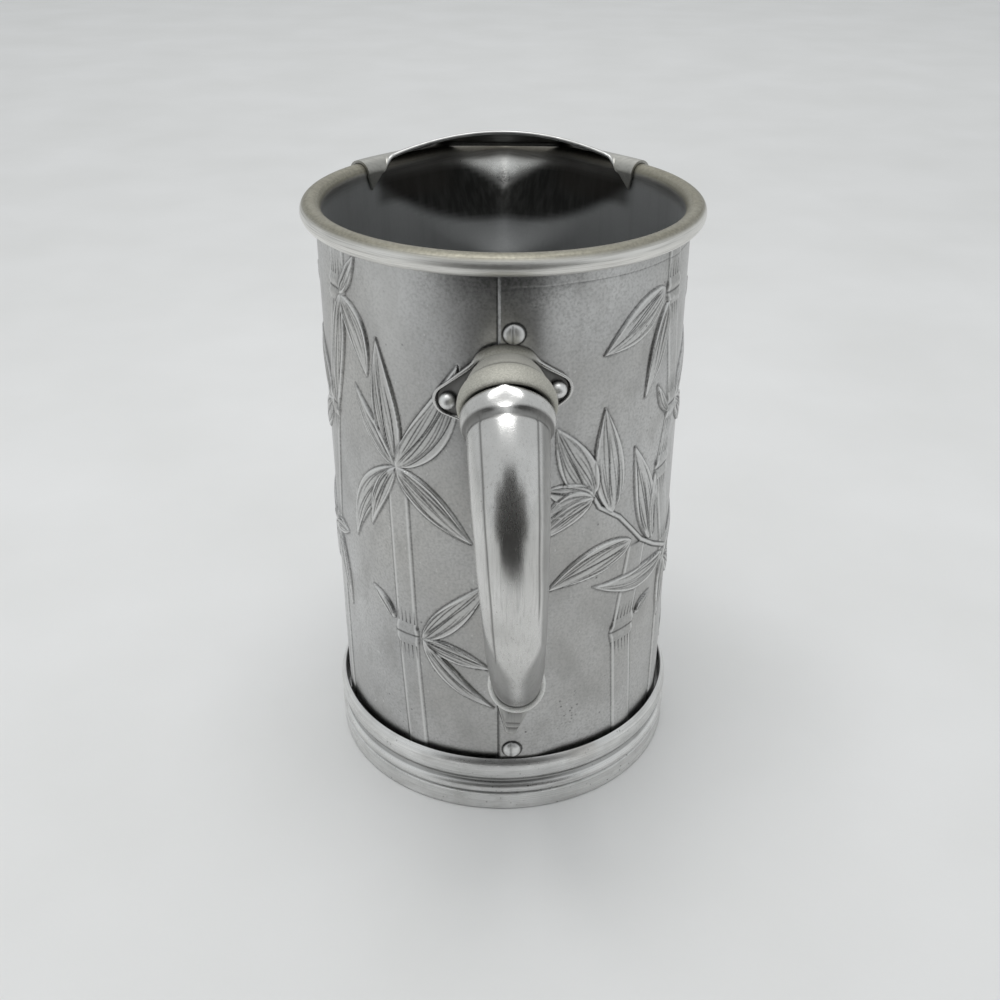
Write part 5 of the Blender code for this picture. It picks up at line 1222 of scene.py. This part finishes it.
# Painted shadow under the lip: the rows just below the cup are darkened.
rows.append((flange_row(HANDLE_BOTTOM, turn, (inset + LOWER_FOOT_RADIUS) / 2, head), 0.6, 0.1))
rows.append((flange_row(HANDLE_BOTTOM, turn, np.full(SOCKET_COLUMNS, LOWER_FOOT_RADIUS), head), 0.9, 0.1))
rows += socket_bell(LOWER_LIP, LOWER_LIP_WIDTH, LOWER_LIP_RADIUS, (LOWER_NECK_LENGTH, LOWER_NECK_RADIUS),
                    LOWER_NECK_RADIUS, SPIGOT_BOTTOM + SEAT_GAP, lower_line, 1.0)
rubbed = polished_aluminium("rubbed_aluminium", (0.78, 0.78, 0.76), (0.92, 0.92, 0.90))
put_on(handle_skin("handle_lower_cup", rows), "handle_lower_socket", rubbed)


# Handle grip
# A hollow bent tube, thick at the shoulder and slim at the foot, polished by use and a little dented.
# A collar sits just outside the upper socket, and both ends stand in the sockets.
HANDLE_BACK = LAP_OUTER + 39.3 * MM
HANDLE_WIDEST = HANDLE_TOP - 40.6 * MM
GRIP_RADII = (12.6 * MM, 10.3 * MM, 7.8 * MM)
GRIP_PULLS = (0.75, 0.62, 0.5, 0.75)
COLLAR_HEIGHT = 2.0 * MM
BRIDGE_HEIGHT = 1.1 * MM
COLLAR_WIDTH = 6.2 * MM
COLLAR_GAP = 1.1 * MM
COLLAR_GROOVE = 0.35 * MM
CRESCENTS = (1.5 * MM, 0.7 * MM)
# Creases along the tube: the angle round it, and the share of its length at which they fade.
CREASES = ((math.radians(131), 0.62), (math.radians(45.6), 0.45))
CREASE_DEPTH = 0.18 * MM
# The painted reflection down the tube: a bright lens between darkened flanks, its half angle at its start
# and end, and where along the tube it narrows.
LENS_HALF = (1.5, 0.0)
LENS_START = 0.46
LENS_RUN = 0.27
# How dark the painted reflection makes the flanks.
FLANK_PAINTED_REFLECTION = 0.5
GRIP_COLUMNS = 192
GRIP_STEPS = 90
DENT = 0.10 * MM


def bezier(start, start_pull, end_pull, end, count):
    """Points of a cubic curve between two ends, with its two pulling points."""
    s = np.linspace(0, 1, count)[:, None]
    return (1 - s)**3 * start + 3 * s * (1 - s)**2 * start_pull + 3 * s**2 * (1 - s) * end_pull + s**3 * end


top, top_way = upper_line(UPPER_LIP)
bottom, bottom_way = lower_line(LOWER_LIP)
widest = np.array((HANDLE_BACK, HANDLE_WIDEST))
up = np.array((0.0, 1.0))
upper_run = bezier(
    top, top + top_way * (widest[0] - top[0]) * GRIP_PULLS[0],
    widest + up * (top[1] - widest[1]) * GRIP_PULLS[1], widest, GRIP_STEPS
)
lower_run = bezier(
    widest, widest - up * (widest[1] - bottom[1]) * GRIP_PULLS[2],
    bottom + bottom_way * (widest[0] - bottom[0]) * GRIP_PULLS[3], bottom, GRIP_STEPS
)
path = np.concatenate((upper_run, lower_run[1:]))
way = np.gradient(path, axis=0)
way /= np.linalg.norm(way, axis=1, keepdims=True)
run = np.concatenate(((0,), np.cumsum(np.linalg.norm(np.diff(path, axis=0), axis=1))))
tube = np.interp(run / run[-1], (0, 0.5, 1), GRIP_RADII)
grip_turn = np.linspace(0, 2 * math.pi, GRIP_COLUMNS, endpoint=False)
beside = np.maximum(np.cos(grip_turn), 0) * CRESCENTS[0] + np.maximum(-np.cos(grip_turn), 0) * CRESCENTS[1]
on_top = line(grip_turn - math.pi / 2, 0.12)
bridge = line(grip_turn - math.pi / 2 - 0.05, 0.32)
gap = np.clip(beside, SEAT_GAP, COLLAR_GAP + 0.4 * MM)
rows = [(handle_ring(*upper_line(UPPER_LIP - SPIGOT_LENGTH), SPIGOT_TOP, GRIP_COLUMNS), 1.0, 0.0)]
for distance in (-0.5 * MM, 0.0):
    place = top[:, None] + top_way[:, None] * (gap + distance)
    rows.append((handle_ring(place, top_way, SPIGOT_TOP, GRIP_COLUMNS), 1.0, 0.0))
for step in np.linspace(0, 1, 18):
    place = top[:, None] + top_way[:, None] * (gap + (COLLAR_GAP + COLLAR_WIDTH - gap) * step)
    swell = COLLAR_HEIGHT * math.sin(math.pi * step) ** 0.4 * (1 - 0.35 * step)
    swell = swell + bridge * (BRIDGE_HEIGHT * (1 - smoothstep(step)) - swell)
    dark = (1 - bridge) * max(0.6 * (step == 0), 0.75 * smoothstep((step - 0.82) / 0.12))
    rows.append((handle_ring(place, top_way, GRIP_RADII[0] + swell, GRIP_COLUMNS), dark, 0.0))
for place, along, radius, gone in zip(path, way, tube, run):
    past = gone - COLLAR_GAP - COLLAR_WIDTH
    if past > 0.2 * MM and gone < run[-1] - COLLAR_GAP:
        wave = np.sin(gone * 210 + 3 * grip_turn) + np.sin(gone * 137 - 2 * grip_turn + 1.0)
        wave = wave + np.sin(gone * 330 + grip_turn + 2.0)
        groove = line(past - 0.7 * MM, 0.5 * MM) * (1 - on_top)
        fade = min(1.0, past / (20 * MM)) * min(1.0, (run[-1] - gone) / (15 * MM))
        done = gone / run[-1]
        crease = sum(line((grip_turn - at) * radius, 0.4 * MM) * (1 - smoothstep((done - end) / 0.1))
                     for at, end in CREASES)
        radius = radius - COLLAR_GROOVE * groove - CREASE_DEPTH * crease + DENT / 3 * wave * fade
        # Painted reflection: the flanks beside a bright lens go darker down the lower tube, and beside the
        # right crease.
        lens_half = LENS_HALF[0] + (LENS_HALF[1] - LENS_HALF[0]) * smoothstep((done - LENS_START) / LENS_RUN)
        off = np.abs((grip_turn + math.pi / 2) % (2 * math.pi) - math.pi)
        painted_flank = FLANK_PAINTED_REFLECTION * smoothstep((off - lens_half) / 0.4) * smoothstep((done - LENS_START) / 0.1)
        painted_flank = painted_flank * (1 - 0.7 * smoothstep((off - 1.4) / 0.6))
        by_crease = smoothstep((CREASES[1][0] - 0.05 - grip_turn) / 0.15) * smoothstep(grip_turn / 0.3)
        painted_flank = np.maximum(painted_flank, FLANK_PAINTED_REFLECTION * by_crease)
        dark = np.maximum(np.maximum(0.85 * groove, 0.75 * crease), painted_flank)
        rows.append((handle_ring(place, along, radius, GRIP_COLUMNS), dark, 0.0))
for distance, radius, dark in ((COLLAR_GAP, GRIP_RADII[2], 0.1), (0.5 * MM, GRIP_RADII[2] - 0.1 * MM, 0.5),
                               (SEAT_GAP, SPIGOT_BOTTOM, 0.95), (-SPIGOT_LENGTH, SPIGOT_BOTTOM, 1.0)):
    place, along = lower_line(LOWER_LIP + distance)
    rows.append((handle_ring(place, -along, radius, GRIP_COLUMNS), dark, 0.0))
put_on(handle_skin("handle_tube", rows), "handle_grip", polished)


# Rivets
# Five aluminium rivets through the jacket and the vessel: one in each ear, two down the lap seam and a
# hidden one behind the lower socket.  Each has a low hammered tail inside, and the seam heads a nick.
RIVET_SHANK = 1.6 * MM
RIVET_TAIL = (3.0 * MM, 1.1 * MM)
EAR_HEAD = (2.8 * MM, 2.2 * MM + EAR_HOLLOW)
NICK_DEPTH = 0.3 * MM
NICK_WIDTH = 0.5 * MM
NICK_SIDE = 0.4 * MM
RIVET_COLUMNS = 96


def add_rivet(name, node, place, seat, head, nick, material):
    """A rivet along a radius of the body: domed tail, shank, and a domed head, nicked upright if asked."""
    inner = VESSEL_RADIUS - SEAT_GAP
    profile = [(RIVET_TAIL[0] * math.sin(t), inner - RIVET_TAIL[1] * math.cos(t), 0.0)
               for t in np.linspace(0.12, math.pi / 2, 8)]
    profile += [(RIVET_SHANK, inner, 0.6), (RIVET_SHANK, seat, 0.6)]
    if head:
        profile += [(head[0] * math.sin(t), seat + head[1] * math.cos(t), max(0.0, math.sin(t) ** 12 * 0.9))
                    for t in np.linspace(math.pi / 2, 0.03, 32)]
    radius, distance, dark = np.array(profile).T[:, :, None]
    turn = np.linspace(0, 2 * math.pi, RIVET_COLUMNS, endpoint=False)
    side, rise = radius * np.cos(turn), radius * np.sin(turn)
    distance = np.broadcast_to(distance, side.shape)
    cut = nick * line(side - NICK_SIDE, NICK_WIDTH) * (distance > seat)
    angle, height = place
    start = around(angle, 0.0, height)
    along = around(angle, 1.0, height) - start
    across = np.cross(along, (0.0, 0.0, 1.0))
    grid = start + along * (distance - NICK_DEPTH * cut)[..., None] + across * side[..., None]
    grid = grid + np.array((0.0, 0.0, 1.0)) * rise[..., None]
    rivet = skin(name, grid, marks={"patina_and_painted_shade": np.maximum(np.broadcast_to(dark, side.shape), 0.5 * cut)})
    put_on(rivet, node, material)


def rivet_aluminium():
    """Soft bright rivet metal: hammered, dark round the foot of the head."""
    metal = Finish("rivet_aluminium")
    hammered = metal.noise(700, 2)
    grain = metal.noise(2600, 2)
    colour = metal.cloudy(hammered, (0.74, 0.74, 0.73), (0.90, 0.90, 0.89))
    colour = metal.mix(metal.mark("patina_and_painted_shade"), colour, (0.05, 0.05, 0.05))
    rough = metal.span(grain, 0.3, 0.7, 0.36, 0.48)
    normal = metal.relief(hammered, 0.00002)
    return metal.finish(colour, rough, metal.relief(grain, 0.00001, normal))


rivet_finish = rivet_aluminium()
for ear_name, ear in zip(("ear_rivet_left", "ear_rivet_right"), EARS):
    seat = flange_front + SEAT_GAP - EAR_HOLLOW
    place = body_place(ear[0], HANDLE_TOP + ear[1])
    add_rivet(ear_name + "_head", ear_name, place, seat, EAR_HEAD, 0, rivet_finish)
seam_angle = LAP_EDGE + SEAM_INSET / LAP_OUTER
for seam_name, seam_height in zip(("seam_rivet_top", "seam_rivet_bottom"), SEAM_HEIGHTS):
    seat = LAP_OUTER + SEAT_GAP
    add_rivet(seam_name + "_head", seam_name, (seam_angle, seam_height), seat, SEAM_HEAD, 1, rivet_finish)
add_rivet("handle_lower_rivet_tail", "handle_lower_rivet", body_place(0.0, HANDLE_BOTTOM),
          SOCKET_BACK + 4.0 * MM, None, 0, rivet_finish)


# Floor and light
# A plain pale paper floor under a big soft light overhead and another farther back, in a pale room.
# Dark cards in front, out of the picture, give the bright metal something dark to mirror.
FLOOR_SIZE = 6.0
CARD_FOOT = 0.002
ROOM_COLOUR = (0.80, 0.82, 0.83, 1)
ROOM_STRENGTH = 0.80
# Cards: left and right, near and far from the axis, height, grey.  Lamps: place, size, power.
CARDS = (("dark_card", (-0.15, 0.15), (0.32, 0.50), 0.55, 0.03),
         ("grey_card_left", (-0.40, -0.20), (0.48, 0.56), 0.4, 0.07),
         ("grey_card_right", (0.20, 0.42), (0.48, 0.56), 0.4, 0.07))
LAMPS = (("overhead_soft_light", (-0.08, AXIS_Y - 0.05, 1.1), (0.6, 0.4), 3.6),
         ("back_soft_light", (0.0, AXIS_Y + 1.5, 1.4), (1.6, 0.8), 3.0))


def flat_piece(name, corners):
    """A single flat face of the stage."""
    mesh = bpy.data.meshes.new(name)
    mesh.from_pydata(corners, [], [(0, 1, 2, 3)])
    item = bpy.data.objects.new(name, mesh)
    bpy.context.scene.collection.objects.link(item)
    return item


floor = flat_piece("floor", [(-FLOOR_SIZE, -FLOOR_SIZE, 0), (FLOOR_SIZE, -FLOOR_SIZE, 0),
                             (FLOOR_SIZE, FLOOR_SIZE, 0), (-FLOOR_SIZE, FLOOR_SIZE, 0)])
paper = Finish("pale_paper")
paper.shader.inputs["Metallic"].default_value = 0.0
paper_cloud = paper.noise(9, 5)
paper_colour = paper.cloudy(paper_cloud, (0.755, 0.755, 0.745), (0.80, 0.80, 0.795))
floor.data.materials.append(paper.finish(paper_colour, paper.span(paper_cloud, 0.3, 0.7, 0.6, 0.8),
                                         paper.relief(paper.noise(900, 2), 0.00003)))

for card_name, (card_left, card_right), (card_near, card_far), card_top, card_grey in CARDS:
    card = flat_piece(card_name, [
        (card_left, AXIS_Y - card_near, CARD_FOOT), (card_right, AXIS_Y - card_near, CARD_FOOT),
        (card_right, AXIS_Y - card_far, card_top), (card_left, AXIS_Y - card_far, card_top)])
    felt = Finish(card_name + "_felt")
    felt.shader.inputs["Metallic"].default_value = 0.0
    felt_cloud = felt.noise(40, 3)
    felt_colour = felt.cloudy(felt_cloud, (card_grey, card_grey * 0.95, card_grey * 0.88),
                              (card_grey * 1.5, card_grey * 1.45, card_grey * 1.4))
    card.data.materials.append(felt.finish(felt_colour, felt.span(felt_cloud, 0.3, 0.7, 0.8, 0.95),
                                           felt.relief(felt_cloud, 0.0005)))
    card.visible_camera = False
    card.visible_shadow = False
    card.visible_diffuse = False

for lamp_name, lamp_place, (lamp_wide, lamp_deep), lamp_power in LAMPS:
    lamp = bpy.data.lights.new(lamp_name, "AREA")
    lamp.shape = "RECTANGLE"
    lamp.size, lamp.size_y = lamp_wide, lamp_deep
    lamp.energy = lamp_power
    lamp_object = bpy.data.objects.new(lamp_name, lamp)
    lamp_object.location = lamp_place
    bpy.context.scene.collection.objects.link(lamp_object)

world = bpy.data.worlds.new("pale_room")
world.use_nodes = True
room = world.node_tree.nodes["Background"]
room.inputs["Color"].default_value = ROOM_COLOUR
room.inputs["Strength"].default_value = ROOM_STRENGTH
bpy.context.scene.world = world


# Camera
# It stands in front of the handle, a little above the rim, and looks down into the pitcher.
CAMERA_BACK = 392.75 * MM
CAMERA_HEIGHT = 320.23 * MM
CAMERA_DOWN = math.radians(29.74)
CAMERA_ASIDE = math.radians(1.36)
CAMERA_ROLL = math.radians(0.73)
CAMERA_LENS = 42.48
CAMERA_SHIFT = -0.028

forward = np.array((math.sin(CAMERA_ASIDE) * math.cos(CAMERA_DOWN),
                    math.cos(CAMERA_ASIDE) * math.cos(CAMERA_DOWN), -math.sin(CAMERA_DOWN)))
level = np.array((math.cos(CAMERA_ASIDE), -math.sin(CAMERA_ASIDE), 0.0))
above = np.cross(level, forward)
right = level * math.cos(CAMERA_ROLL) + above * math.sin(CAMERA_ROLL)
upward = above * math.cos(CAMERA_ROLL) - level * math.sin(CAMERA_ROLL)
optics = bpy.data.cameras.new("camera")
optics.lens = CAMERA_LENS
optics.shift_x = CAMERA_SHIFT
optics.clip_start = 0.01
camera = bpy.data.objects.new("camera", optics)
turned_axes = np.eye(4)
turned_axes[:3, :3] = np.stack((right, upward, -forward), axis=1)
turned_axes[:3, 3] = (0.0, AXIS_Y - CAMERA_BACK, CAMERA_HEIGHT)
camera.matrix_world = Matrix(turned_axes.tolist())
bpy.context.scene.collection.objects.link(camera)
bpy.context.scene.camera = camera
bpy.context.scene.view_settings.view_transform = "Standard"


# Last step: the view layer is brought up to date.
bpy.context.view_layer.update()
